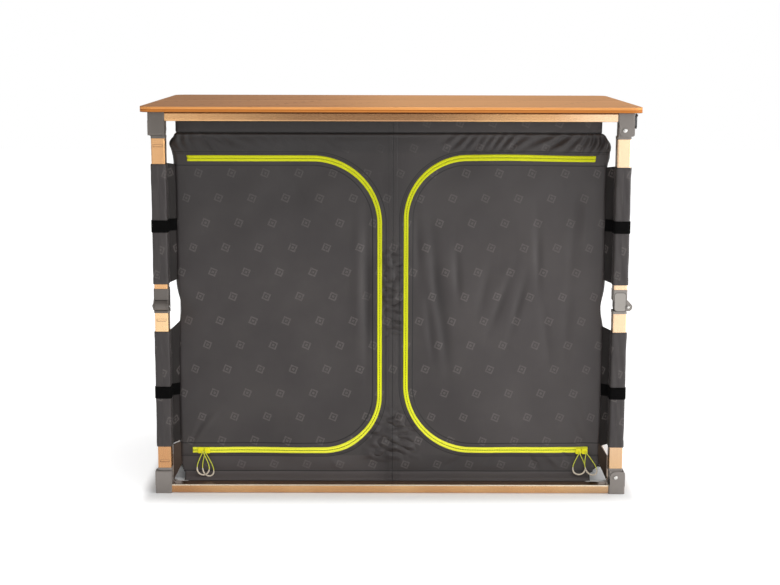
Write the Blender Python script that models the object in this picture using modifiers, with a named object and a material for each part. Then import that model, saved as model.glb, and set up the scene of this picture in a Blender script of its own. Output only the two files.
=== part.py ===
"""Folding camp kitchen cupboard: a board on a collapsible frame with a cloth cabinet hung inside.

Metres, +Z up, the front faces -Y, and the origin is on the floor under the middle of the board.
Four legs, each of two square tubes joined by an elbow, fold in towards the next corner, so that
each side of the frame takes one folded leg. The legs are quarter-turn copies round the cupboard.
"""

import math

import bmesh
import bpy
from mathutils import Matrix, Vector

# Board
BOARD_W = 1.0056
BOARD_D = 0.5706
BOARD_T = 0.0115
BOARD_CORNER = 0.024
BOARD_EDGE = 0.0032
HEIGHT = 0.800

# Frame of rails and corner brackets
OVERHANG = 0.0153
BRACKET = 0.0336
CHEEK = 0.0030
RAIL_D = 0.0280
RAIL_H = 0.0182
RAIL_WALL = 0.0015
RAIL_ROUND = 0.0030
FOOT_LIFT = 0.0006
SPIGOT = 0.0200
GUSSET = 0.0460
GUSSET_T = 0.0022

# Legs
TUBE = 0.0280
TUBE_WALL = 0.0015
TUBE_ROUND = 0.0030
TUBE_SETBACK = 0.0054
PIVOT_DROP = 0.0165
EAR_R = 0.0124
END_COLLAR = 0.0055
COLLAR_LIP = 0.0003
PLUG = 0.0250
PIN_R = 0.0032
PIN_HOLE_R = 0.0022
RIVET_HEAD_R = 0.0047
RIVET_HEAD_T = 0.0012
DIMPLE_W = 0.0200
DIMPLE_H = 0.0050
DIMPLE_DEEP = 0.0010
DIMPLE_FROM_END = 0.0145

# Elbows
ELBOW_OUT = 0.0165
ELBOW_W = 0.0306
ELBOW_CHEEK = 0.0030
LUG_R = 0.0086
ELBOW_GAP = 0.0122
SOCKET_H = 0.0228
ELBOW_COLLAR = 0.0056
ELBOW_LIP = 0.0006
ELBOW_RELIEF = 0.0018
ELBOW_PIN_R = 0.0026

# Clearances
GAP = 0.0003
RUN = 0.0004

# Cloth
CLOTH = 0.0015
WRAP_T = 0.0016
STRAP_W = 0.0250
STRAP_T = 0.0010
PULL_ROOM = 0.0080
WRAP_TOP_DROP = 0.0745
WRAP_OVER_ELBOW = 0.0446
WRAP_UNDER_ELBOW = 0.0534
WRAP_LOW_RISE = 0.0632
STRAP_OVER_ELBOW = 0.1633
STRAP_UNDER_ELBOW = 0.1811
CABINET_IN = 0.0568
NECK_IN = 0.0120
NECK_SET = 0.0030
SHOULDER_DROP = 0.0550
SHOULDER_H = 0.0560
CABINET_ROUND = 0.0250
CUT_W = 0.0235
CUT_H = 0.0360

# Doors and zips
DOOR_EDGE_IN = 0.0310
DOOR_IN = 0.027
DOOR_TOP_DROP = 0.1070
DOOR_LOW = 0.083
DOOR_ROUND = 0.128
ZIP_HALF = 0.0072
ZIP_T = 0.0010
SLIDER_W = 0.0090
SLIDER_H = 0.0075
SLIDER_T = 0.0022
SLIDER_IN = 0.0115
SLIDER_PITCH = 0.0145
LOOP_DROP = 0.0450
LOOP_W = 0.0215
CORD_R = 0.0008
GRIP_R = 0.0014
PULL_PEG_R = 0.0006
PULL_PEG_DROP = 0.0026

# Shelves
SHELF_T = 0.0030
SHELF_CLEAR = 0.0060
SHELF_ROUND = 0.0200
SHELF_LOW_SHARE = 0.3275
SHELF_HIGH_SHARE = 0.63125
LEDGE_W = 0.0180

# Hanging ring
RING_WIRE = 0.0011
RING_W = 0.0150
RING_H = 0.0290
RING_PEG_R = 0.0015
RING_DROP = 0.0050
RING_BACK = 0.0110
RING_OUT = 0.0068

# Places worked out from the sizes
board_low = HEIGHT - BOARD_T
axis_in = TUBE_SETBACK + TUBE / 2
leg_x = BOARD_W / 2 - OVERHANG - axis_in
leg_y = BOARD_D / 2 - OVERHANG - axis_in
block_in = BRACKET - axis_in
rail_top_z = board_low - GAP
rail_high_z = rail_top_z - RAIL_H
rail_low_z = FOOT_LIFT + RAIL_H
pivot_high = rail_high_z - PIVOT_DROP
pivot_low = rail_low_z + PIVOT_DROP
elbow_z = (pivot_high + pivot_low) / 2
rail_mid = block_in - BRACKET / 2
cheek_reach = EAR_R - 2 * RUN
wrap_half = TUBE / 2 + GAP + WRAP_T
front_y = -leg_y + wrap_half + PULL_ROOM
wrap_top = pivot_high - WRAP_TOP_DROP
wrap_mid_high = elbow_z + WRAP_OVER_ELBOW
wrap_mid_low = elbow_z - WRAP_UNDER_ELBOW
wrap_low = pivot_low + WRAP_LOW_RISE
cabinet_half = BOARD_W / 2 - CABINET_IN
neck_half = cabinet_half - NECK_IN
cabinet_low = rail_low_z + 0.001
shoulder_top = HEIGHT - SHOULDER_DROP
door_out = cabinet_half - DOOR_EDGE_IN
door_top = HEIGHT - DOOR_TOP_DROP
slider_out = door_out - SLIDER_IN
shelf_low = HEIGHT * SHELF_LOW_SHARE
shelf_high = HEIGHT * SHELF_HIGH_SHARE
pull_near_y = front_y - ZIP_T - GAP - GRIP_R
pull_far_y = pull_near_y - 2 * GRIP_R - GAP
pull_top = DOOR_LOW - 0.0025
peg_z = pull_top - PULL_PEG_DROP
peg_reach = front_y - ZIP_T - SLIDER_T - (pull_far_y - CORD_R)

# Corners in the order of the quarter turns that bring the front left one to each
CORNERS = ("fl", "fr", "rr", "rl")


def clear_scene():
    for obj in list(bpy.data.objects):
        bpy.data.objects.remove(obj, do_unlink=True)


def collection(name, hidden=False):
    made = bpy.data.collections.new(name)
    bpy.context.scene.collection.children.link(made)
    made.hide_render = hidden
    return made


def material(name, colour, roughness, metallic=0.0):
    made = bpy.data.materials.new(name)
    made.use_nodes = True
    shader = made.node_tree.nodes["Principled BSDF"]
    shader.inputs["Base Color"].default_value = (*colour, 1.0)
    shader.inputs["Roughness"].default_value = roughness
    shader.inputs["Metallic"].default_value = metallic
    return made


def baked(obj):
    """The object's mesh with its modifiers applied."""
    bpy.context.view_layer.update()
    graph = bpy.context.evaluated_depsgraph_get()
    return bpy.data.meshes.new_from_object(obj.evaluated_get(graph))


def tidy(mesh):
    """Joins points that coincide, drops stray edges and turns every face outwards."""
    bm = bmesh.new()
    bm.from_mesh(mesh)
    bmesh.ops.remove_doubles(bm, verts=bm.verts, dist=1e-6)
    loose = [edge for edge in bm.edges if not edge.link_faces]
    bmesh.ops.delete(bm, geom=loose, context="EDGES")
    bmesh.ops.recalc_face_normals(bm, faces=bm.faces)
    bm.to_mesh(mesh)
    bm.free()
    return mesh


def helper(name, mesh):
    """An object in the collection of cutters and other building shapes."""
    obj = bpy.data.objects.new(name, mesh)
    shapes.objects.link(obj)
    obj.hide_render = True
    obj.display_type = "WIRE"
    return obj


def joined(base, others, operation="UNION"):
    """The mesh of a base after exact Booleans with the others, one after another."""
    work = helper("work", base)
    for count, mesh in enumerate(others):
        tool = helper("tool%d" % count, mesh)
        step = work.modifiers.new("step%d" % count, "BOOLEAN")
        step.object = tool
        step.operation = operation
        step.solver = "EXACT"
    result = tidy(baked(work))
    for obj in [work] + [step.object for step in work.modifiers]:
        bpy.data.objects.remove(obj, do_unlink=True)
    return result


def cut(base, *others):
    return joined(base, others, "DIFFERENCE")


def union(base, *others):
    return joined(base, others, "UNION")


def slab(rings, low, high, across="z"):
    """A flat outline, with any holes after it, swept from low to high across one axis.

    The outline's two numbers are x, y across z; x, z across y; and y, z across x.
    """
    curve = bpy.data.curves.new("outline", "CURVE")
    curve.dimensions = "2D"
    curve.fill_mode = "BOTH"
    curve.extrude = (high - low) / 2
    for ring in rings:
        ring = [p for p, q in zip(ring, ring[1:] + ring[:1]) if math.dist(p, q) > 2e-6]
        spline = curve.splines.new("POLY")
        spline.points.add(len(ring) - 1)
        for point, (u, v) in zip(spline.points, ring):
            point.co = (u, v, 0.0, 1.0)
        spline.use_cyclic_u = True
    obj = helper("outline", curve)
    mesh = baked(obj)
    bpy.data.objects.remove(obj, do_unlink=True)
    mesh.transform(Matrix.Translation((0, 0, (low + high) / 2)))
    turns = {
        "z": ((1, 0, 0), (0, 1, 0), (0, 0, 1)),
        "y": ((1, 0, 0), (0, 0, 1), (0, 1, 0)),
        "x": ((0, 0, 1), (1, 0, 0), (0, 1, 0)),
    }
    mesh.transform(Matrix(turns[across]).to_4x4())
    return tidy(mesh)


def arc(u, v, radius, start, end, steps):
    """Points on a circle from one angle to another, in degrees, both ends included."""
    angles = [math.radians(start + (end - start) * i / steps) for i in range(steps + 1)]
    return [(u + radius * math.cos(a), v + radius * math.sin(a)) for a in angles]


def rounded_box(u0, u1, v0, v1, radius, steps=3):
    """An upright rectangle with rounded corners, anticlockwise from its lower right."""
    if radius <= 0:
        return [(u1, v0), (u1, v1), (u0, v1), (u0, v0)]
    ring = arc(u1 - radius, v0 + radius, radius, -90, 0, steps)
    ring += arc(u1 - radius, v1 - radius, radius, 0, 90, steps)
    ring += arc(u0 + radius, v1 - radius, radius, 90, 180, steps)
    ring += arc(u0 + radius, v0 + radius, radius, 180, 270, steps)
    return ring


def hull(points):
    """The convex outline round a set of flat points, anticlockwise."""
    ordered = sorted(set(points))

    def chain(sequence):
        line = []
        for p in sequence:
            while len(line) > 1 and (
                (line[-1][0] - line[-2][0]) * (p[1] - line[-2][1])
                - (line[-1][1] - line[-2][1]) * (p[0] - line[-2][0])
            ) <= 1e-12:
                line.pop()
            line.append(p)
        return line[:-1]

    return chain(ordered) + chain(reversed(ordered))


def box(x0, x1, y0, y1, z0, z1):
    bm = bmesh.new()
    size = Matrix.Diagonal((x1 - x0, y1 - y0, z1 - z0, 1.0))
    middle = Matrix.Translation(((x0 + x1) / 2, (y0 + y1) / 2, (z0 + z1) / 2))
    bmesh.ops.create_cube(bm, size=1.0, matrix=middle @ size)
    mesh = bpy.data.meshes.new("box")
    bm.to_mesh(mesh)
    bm.free()
    return mesh


def rod(centre, radius, low, high, across="x", sides=16):
    """A round bar between two planes across one axis, centred on the outline's two numbers."""
    ring = arc(centre[0], centre[1], radius, 0, 360 - 360 / sides, sides - 1)
    return slab([ring], low, high, across)


def wire(points, radius, closed=False, resolution=2):
    """A round cord along points."""
    curve = bpy.data.curves.new("cord", "CURVE")
    curve.dimensions = "3D"
    curve.bevel_depth = radius
    curve.bevel_resolution = resolution
    curve.use_fill_caps = not closed
    spline = curve.splines.new("POLY")
    spline.points.add(len(points) - 1)
    for point, place in zip(spline.points, points):
        point.co = (*place, 1.0)
    spline.use_cyclic_u = closed
    obj = helper("cord", curve)
    mesh = baked(obj)
    bpy.data.objects.remove(obj, do_unlink=True)
    return tidy(mesh)


def pivot(name, place, parent=None, turn=0.0):
    """An empty on a joint's axis that carries the pieces which move about it."""
    empty = bpy.data.objects.new(name, None)
    empty.empty_display_size = 0.03
    pieces.objects.link(empty)
    empty.parent = parent
    home = Matrix.Translation(place) @ Matrix.Rotation(turn, 4, "Z")
    if parent is not None:
        home = parent_homes[parent.name].inverted() @ home
    empty.matrix_basis = home
    parent_homes[name] = (
        home if parent is None else parent_homes[parent.name] @ home
    )
    return empty


def piece(name, mesh, finish, carrier=None, home=None):
    """A named part at its place in the world, carried by a pivot where it moves."""
    obj = bpy.data.objects.new(name, mesh)
    pieces.objects.link(obj)
    if not mesh.materials:
        mesh.materials.append(finish)
    home = home or Matrix.Identity(4)
    if carrier is not None:
        obj.parent = carrier
        home = parent_homes[carrier.name].inverted() @ home
    obj.matrix_basis = home
    return obj


def bevelled(mesh, width, segments=2, angle=40):
    obj = helper("edge", mesh)
    step = obj.modifiers.new("round", "BEVEL")
    step.width = width
    step.segments = segments
    step.limit_method = "ANGLE"
    step.angle_limit = math.radians(angle)
    result = tidy(baked(obj))
    bpy.data.objects.remove(obj, do_unlink=True)
    return result


clear_scene()
pieces = collection("folding_cupboard")
shapes = collection("cutters", hidden=True)
parent_homes = {}

wood = material("bamboo", (0.62, 0.38, 0.20), 0.45)
rail_finish = material("rail_aluminium", (0.55, 0.32, 0.18), 0.35, 0.3)
tube_finish = material("leg_aluminium", (0.60, 0.40, 0.25), 0.35, 0.3)
grey = material("grey_plastic", (0.17, 0.16, 0.15), 0.55)
cloth = material("cloth", (0.055, 0.050, 0.050), 0.9)
strap = material("strap_cloth", (0.05, 0.045, 0.045), 0.9)
panel = material("shelf_board", (0.45, 0.46, 0.45), 0.7)
lime = material("zip_pull", (0.70, 0.75, 0.03), 0.6)
black = material("black_wire", (0.015, 0.015, 0.015), 0.4)


# Frame bracket
def bracket_mesh(low):
    """One corner bracket about its leg's axis: +x and +y are inwards, along its two rails.

    The block joins the rails. Two cheeks and an outer wall reach past them to the leg's pivot,
    and the inner side stays open, so that the leg can swing in under the rail.
    """
    sign = -1.0 if low else 1.0
    pivot_z = 0.0
    near = PIVOT_DROP
    far = near + RAIL_H + (FOOT_LIFT if low else 0.0)
    tip = -(EAR_R - RUN)
    block = slab(
        [rounded_box(-axis_in, block_in, -axis_in, block_in, 0.003)], near, far
    )
    side = [(-axis_in, near + 0.002), (-axis_in, tip + 0.004)]
    side += arc(-axis_in + 0.004, tip + 0.004, 0.004, 180, 270, 3)[1:]
    side += arc(0.0, tip + cheek_reach, cheek_reach, 270, 360, 6)
    side += [(cheek_reach, near + 0.002)]
    outer = slab([side], -axis_in, -axis_in + CHEEK, "x")
    inner = slab([side], block_in - CHEEK, block_in, "x")
    skirt = [(-axis_in, near + 0.002), (-axis_in, tip + 0.004)]
    skirt += arc(-axis_in + 0.004, tip + 0.004, 0.004, 180, 270, 3)[1:3]
    skirt += [(-axis_in + CHEEK, tip + 0.0003), (-axis_in + CHEEK, near + 0.002)]
    wall = slab([skirt], -axis_in + 0.001, block_in - 0.001, "x")
    middle = near + RAIL_H / 2
    deep = RAIL_D / 2 - RAIL_WALL - GAP
    tall = RAIL_H / 2 - RAIL_WALL - GAP
    along_x = slab(
        [rounded_box(rail_mid - deep, rail_mid + deep, middle - tall, middle + tall, 0.001, 1)],
        block_in - 0.002,
        block_in + SPIGOT,
        "x",
    )
    along_y = slab(
        [rounded_box(rail_mid - deep, rail_mid + deep, middle - tall, middle + tall, 0.001, 1)],
        block_in - 0.002,
        block_in + SPIGOT,
        "y",
    )
    pin = rod((0.0, pivot_z), PIN_R, -axis_in + 0.001, block_in - 0.001)
    heads = [
        rod((0.0, pivot_z), RIVET_HEAD_R, -axis_in - RIVET_HEAD_T, -axis_in + 0.001),
        rod((0.0, pivot_z), RIVET_HEAD_R, block_in - 0.001, block_in + RIVET_HEAD_T),
    ]
    mesh = union(block, outer, inner, wall, along_x, along_y, pin, *heads)
    if low:
        ledge_top = near + FOOT_LIFT + SHELF_T + 2 * GAP
        corner = block_in - 0.001
        gusset = slab(
            [[(corner, corner), (corner + GUSSET, corner), (corner, corner + GUSSET)]],
            ledge_top,
            ledge_top + GUSSET_T,
        )
        mesh = union(mesh, gusset)
        mesh.transform(Matrix.Diagonal((1.0, 1.0, sign, 1.0)))
        mesh.flip_normals()
    else:
        mesh = cut(
            mesh,
            rod((0.0, pivot_z), PIN_HOLE_R, -axis_in - 0.01, block_in + 0.01, "x", 12),
        )
    return mesh


# Leg end that turns between the bracket's cheeks
def leg_end_mesh():
    """Ear, collar and plug below a pivot at the origin, with the tube hanging down."""
    ear_low = -axis_in + CHEEK + GAP
    ear_high = block_in - CHEEK - GAP
    ring = arc(0.0, 0.0, EAR_R, 0, 180, 8)
    ring += [(-EAR_R, -EAR_R - 0.001), (EAR_R, -EAR_R - 0.001)]
    hole = arc(0.0, 0.0, PIN_R + RUN, 345, 0, 23)
    ear = slab([ring, hole], ear_low, ear_high, "x")
    half = TUBE / 2 + COLLAR_LIP
    collar = slab(
        [rounded_box(-half, half, -half, half, TUBE_ROUND)],
        -EAR_R - END_COLLAR,
        -EAR_R,
    )
    core = TUBE / 2 - TUBE_WALL - GAP
    plug = slab(
        [rounded_box(-core, core, -core, core, 0.0012, 1)],
        -EAR_R - END_COLLAR - PLUG,
        -EAR_R - 0.001,
    )
    return union(collar, ear, plug)


# Square leg tube
def tube_mesh(low, high):
    """A square tube with a pressed dimple near each end, on the two sides across the hinges."""
    half = TUBE / 2
    core = half - TUBE_WALL
    mesh = slab(
        [
            rounded_box(-half, half, -half, half, TUBE_ROUND, 4),
            rounded_box(-core, core, -core, core, TUBE_ROUND / 2, 1),
        ],
        low,
        high,
    )
    marks = []
    for z in (low + DIMPLE_FROM_END, high - DIMPLE_FROM_END):
        mark = rounded_box(
            -DIMPLE_W / 2, DIMPLE_W / 2, z - DIMPLE_H / 2, z + DIMPLE_H / 2, DIMPLE_H / 2, 2
        )
        for side in (-1, 1):
            edge = sorted((side * (half - DIMPLE_DEEP), side * (half + 0.002)))
            marks.append(slab([mark], edge[0], edge[1], "y"))
    return cut(mesh, *marks)


# Elbow halves, both about the elbow's pin at the origin, with the tubes on the +y side
def elbow_side(radius, low, high):
    """Side outline of a knuckle: a lug round the pin, run out to the tube's far face."""
    near = 0.0050
    far = ELBOW_OUT + EAR_R - 2 * RUN
    points = arc(0.0, 0.0, radius, 0, 345, 23)
    points += [(near, high), (far, high)]
    points += arc(far - 0.006, low + 0.006, 0.006, -90, 0, 3)
    return hull(points)


def elbow_upper_mesh():
    """Socket under the upper tube, with two cheeks that reach down past the pin."""
    half = TUBE / 2 + ELBOW_LIP
    wide = ELBOW_W / 2
    body = slab(
        [rounded_box(-wide, wide, ELBOW_OUT - half, ELBOW_OUT + half, TUBE_ROUND)],
        ELBOW_GAP,
        ELBOW_GAP + SOCKET_H,
    )
    hole = arc(0.0, 0.0, ELBOW_PIN_R + RUN, 345, 0, 23)
    side = elbow_side(LUG_R, -LUG_R, ELBOW_GAP + 0.004)
    cheeks = [
        slab([side, hole], -wide, -wide + ELBOW_CHEEK, "x"),
        slab([side, hole], wide - ELBOW_CHEEK, wide, "x"),
    ]
    core = TUBE / 2 - TUBE_WALL - GAP
    plug = slab(
        [rounded_box(-core, core, ELBOW_OUT - core, ELBOW_OUT + core, 0.0012, 1)],
        ELBOW_GAP + SOCKET_H - 0.002,
        ELBOW_GAP + SOCKET_H + PLUG,
    )
    return union(body, *cheeks, plug)


def elbow_lower_mesh():
    """Collar on the lower tube, with the tongue between the cheeks and the pin in it."""
    half = TUBE / 2 + ELBOW_LIP
    wide = ELBOW_W / 2
    top = -LUG_R - RUN
    body = slab(
        [rounded_box(-wide, wide, ELBOW_OUT - half, ELBOW_OUT + half, TUBE_ROUND)],
        top - ELBOW_COLLAR,
        top,
    )
    near = ELBOW_OUT - half
    relief = slab(
        [
            [
                (near - 0.001, top - ELBOW_RELIEF - 0.001),
                (near + ELBOW_RELIEF + 0.001, top + 0.001),
                (near - 0.001, top + 0.001),
            ]
        ],
        -wide - 0.001,
        wide + 0.001,
        "x",
    )
    body = cut(body, relief)
    side = elbow_side(LUG_R - RUN, top - 0.002, ELBOW_GAP - RUN)
    inner = wide - ELBOW_CHEEK - GAP
    tongue = slab([side], -inner, inner, "x")
    pin = rod((0.0, 0.0), ELBOW_PIN_R, -wide - GAP - 0.0006, wide + GAP + 0.0006)
    heads = [
        rod((0.0, 0.0), RIVET_HEAD_R, -wide - GAP - RIVET_HEAD_T, -wide - GAP),
        rod((0.0, 0.0), RIVET_HEAD_R, wide + GAP, wide + GAP + RIVET_HEAD_T),
    ]
    core = TUBE / 2 - TUBE_WALL - GAP
    plug = slab(
        [rounded_box(-core, core, ELBOW_OUT - core, ELBOW_OUT + core, 0.0012, 1)],
        top - ELBOW_COLLAR - PLUG,
        top - ELBOW_COLLAR + 0.002,
    )
    return union(body, tongue, pin, *heads, plug)


# Cloth sleeve round a leg tube with its strap
def wrap_mesh(low, high, strap_z):
    """A sewn sleeve round the tube. The strap stands proud on the faces that fold clear."""
    inner = TUBE / 2 + GAP
    outer = inner + WRAP_T
    mesh = slab(
        [
            rounded_box(-outer, outer, -outer, outer, TUBE_ROUND + WRAP_T),
            rounded_box(-inner, inner, -inner, inner, TUBE_ROUND),
        ],
        low,
        high,
    )
    bands = []
    for side in (-1, 1):
        edge = sorted((side * (outer - WRAP_T / 2), side * (outer + STRAP_T)))
        across = TUBE / 2 - TUBE_ROUND / 2
        bands.append(
            box(edge[0], edge[1], -across, across, strap_z - STRAP_W / 2, strap_z + STRAP_W / 2)
        )
    return union(mesh, *bands)


# Rails
def rail_mesh(length):
    """A hollow rail along x with rounded long edges, about its middle."""
    deep = RAIL_D / 2
    tall = RAIL_H / 2
    return slab(
        [
            rounded_box(-deep, deep, -tall, tall, RAIL_ROUND, 4),
            rounded_box(
                -deep + RAIL_WALL, deep - RAIL_WALL, -tall + RAIL_WALL, tall - RAIL_WALL,
                RAIL_ROUND / 2, 1,
            ),
        ],
        -length / 2,
        length / 2,
        "x",
    )


# Pivots of the fold, in the order bottom frame, lower legs, upper legs, top frame
def corner_home(turns, z, out=0.0):
    """The leg axis at a corner, at a height, with its pinwheel turn; out is away from the fold."""
    turn = Matrix.Rotation(turns * math.pi / 2, 4, "Z")
    x, y = (leg_x, leg_y)
    place = {
        0: Vector((-x, -y, z)),
        1: Vector((x, -y, z)),
        2: Vector((x, y, z)),
        3: Vector((-x, y, z)),
    }[turns]
    return Matrix.Translation(place) @ turn @ Matrix.Translation((0.0, -out, 0.0))


# The ring's peg stands out of the right front bracket, under the board's overhang
ring_out = axis_in + RING_OUT / 2
ring_back = RING_BACK - axis_in
ring_up = board_low - RING_DROP - pivot_high
bracket_high = bracket_mesh(low=False)
peg_end = -axis_in - RING_OUT
peg = rod((ring_back, ring_up), RING_PEG_R, peg_end + 0.0005, -axis_in + 0.001, "y", 12)
peg_head = rod((ring_back, ring_up), RING_PEG_R * 1.7, peg_end, peg_end + 0.001, "y", 12)
bracket_hook = union(bracket_high, peg, peg_head)
bracket_low = bracket_mesh(low=True)
leg_end = leg_end_mesh()
elbow_upper = elbow_upper_mesh()
elbow_lower = elbow_lower_mesh()
upper_low = elbow_z + ELBOW_GAP + SOCKET_H + GAP
upper_high = pivot_high - EAR_R - END_COLLAR - GAP
lower_low = pivot_low + EAR_R + END_COLLAR + GAP
lower_high = elbow_z - LUG_R - RUN - ELBOW_COLLAR - GAP
tube_upper = tube_mesh(upper_low, upper_high)
tube_lower = tube_mesh(lower_low, lower_high)
wrap_upper = wrap_mesh(wrap_mid_high, wrap_top, elbow_z + STRAP_OVER_ELBOW)
wrap_lower = wrap_mesh(wrap_low, wrap_mid_low, elbow_z - STRAP_UNDER_ELBOW)

top_home = corner_home(0, pivot_high)
top_frame = pivot("pivot_top_frame", top_home.to_translation())

for turns, corner in enumerate(CORNERS):
    low_home = corner_home(turns, pivot_low)
    mid_home = corner_home(turns, elbow_z, ELBOW_OUT)
    high_home = corner_home(turns, pivot_high)
    floor_home = corner_home(turns, 0.0)
    piece("bottom_bracket_" + corner, bracket_low, grey, None, low_home)
    high = bracket_hook if corner == "fr" else bracket_high
    piece("top_bracket_" + corner, high, grey, top_frame, high_home)
    knee = pivot("pivot_lower_leg_" + corner, low_home.to_translation())
    hip = pivot("pivot_upper_leg_" + corner, mid_home.to_translation())
    upside_down = Matrix.Rotation(math.pi, 4, "X")
    piece("leg_end_lower_" + corner, leg_end, grey, knee, low_home @ upside_down)
    piece("leg_tube_lower_" + corner, tube_lower, tube_finish, knee, floor_home)
    piece("elbow_lower_" + corner, elbow_lower, grey, knee, mid_home)
    piece("leg_wrap_lower_" + corner, wrap_lower, strap, knee, floor_home)
    piece("elbow_upper_" + corner, elbow_upper, grey, hip, mid_home)
    piece("leg_tube_upper_" + corner, tube_upper, tube_finish, hip, floor_home)
    piece("leg_end_upper_" + corner, leg_end, grey, hip, high_home)
    piece("leg_wrap_upper_" + corner, wrap_upper, strap, hip, floor_home)

# Board: a rounded rectangle with rolled edges
board = bevelled(
    slab(
        [
            rounded_box(
                -BOARD_W / 2, BOARD_W / 2, -BOARD_D / 2, BOARD_D / 2, BOARD_CORNER, 6
            )
        ],
        board_low,
        HEIGHT,
    ),
    BOARD_EDGE,
    3,
    60,
)
piece("table_top", board, wood, top_frame)

# Rails between the brackets
long_rail = rail_mesh(2 * (leg_x - block_in - GAP))
short_rail = rail_mesh(2 * (leg_y - block_in - GAP))
quarter = Matrix.Rotation(math.pi / 2, 4, "Z")
for level, carrier in (("bottom", None), ("top", top_frame)):
    middle = FOOT_LIFT + RAIL_H / 2 if level == "bottom" else rail_top_z - RAIL_H / 2
    for side, sign in (("front", -1), ("back", 1)):
        home = Matrix.Translation((0.0, sign * (leg_y - rail_mid), middle))
        piece(level + "_rail_" + side, long_rail, rail_finish, carrier, home)
    for side, sign in (("left", -1), ("right", 1)):
        home = Matrix.Translation((sign * (leg_x - rail_mid), 0.0, middle)) @ quarter
        piece(level + "_rail_" + side, short_rail, rail_finish, carrier, home)


# Cabinet: a cloth tube that hangs inside the legs, with a narrower neck under the board
def door_ring(side, grow):
    """D outline of a door on the left (-1) or right (1), grown outwards by a distance."""
    radius = DOOR_ROUND + grow
    near = DOOR_IN - grow
    low = DOOR_LOW - grow
    high = door_top + grow
    ring = [(door_out + max(grow, 0.0), low), (door_out + max(grow, 0.0), high)]
    ring += arc(near + radius, high - radius, radius, 90, 180, 8)
    ring += arc(near + radius, low + radius, radius, 180, 270, 8)
    ring = [(side * x, z) for x, z in ring]
    return ring if side > 0 else ring[::-1]


def zip_band(side, inner, outer, y0, y1):
    """One cloth band of a zip along a door's three closed runs."""
    outline = door_ring(side, outer)
    return cut(
        slab([outline], y0, y1, "y"),
        slab([door_ring(side, inner)], y0 - 0.01, y1 + 0.01, "y"),
        box(
            *sorted((side * (door_out - GAP / 2), side * (door_out + 0.1))),
            y0 - 0.01, y1 + 0.01, DOOR_LOW - 0.1, door_top + 0.1,
        ),
    )


def plan_ring(half_w, half_d, radius, z, swell):
    """Plan outline of the cloth at one height; swell pushes sides and back out in soft folds."""
    ring = []
    steps = 4
    corners = (
        (half_w - radius, -half_d + radius, -90),
        (half_w - radius, half_d - radius, 0),
        (-half_w + radius, half_d - radius, 90),
        (-half_w + radius, -half_d + radius, 180),
    )
    for x, y, start in corners:
        ring += arc(x, y, radius, start, start + 90, steps)
        if start == -90 or start == 90:
            sign = 1 if start == -90 else -1
            for i in range(1, 6):
                t = -1 + i / 3
                wave = swell * (1 - t * t) * math.cos(3.1 * t + 9.0 * z)
                ring.append((sign * (half_w + wave), sign * t * (half_d - radius)))
        if start == 0:
            for i in range(1, 8):
                t = 1 - i / 4
                wave = swell * (1 - t * t) * math.cos(4.4 * t + 7.0 * z)
                ring.append((t * (half_w - radius), half_d + wave))
    return [(x, y, z) for x, y in ring]


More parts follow.
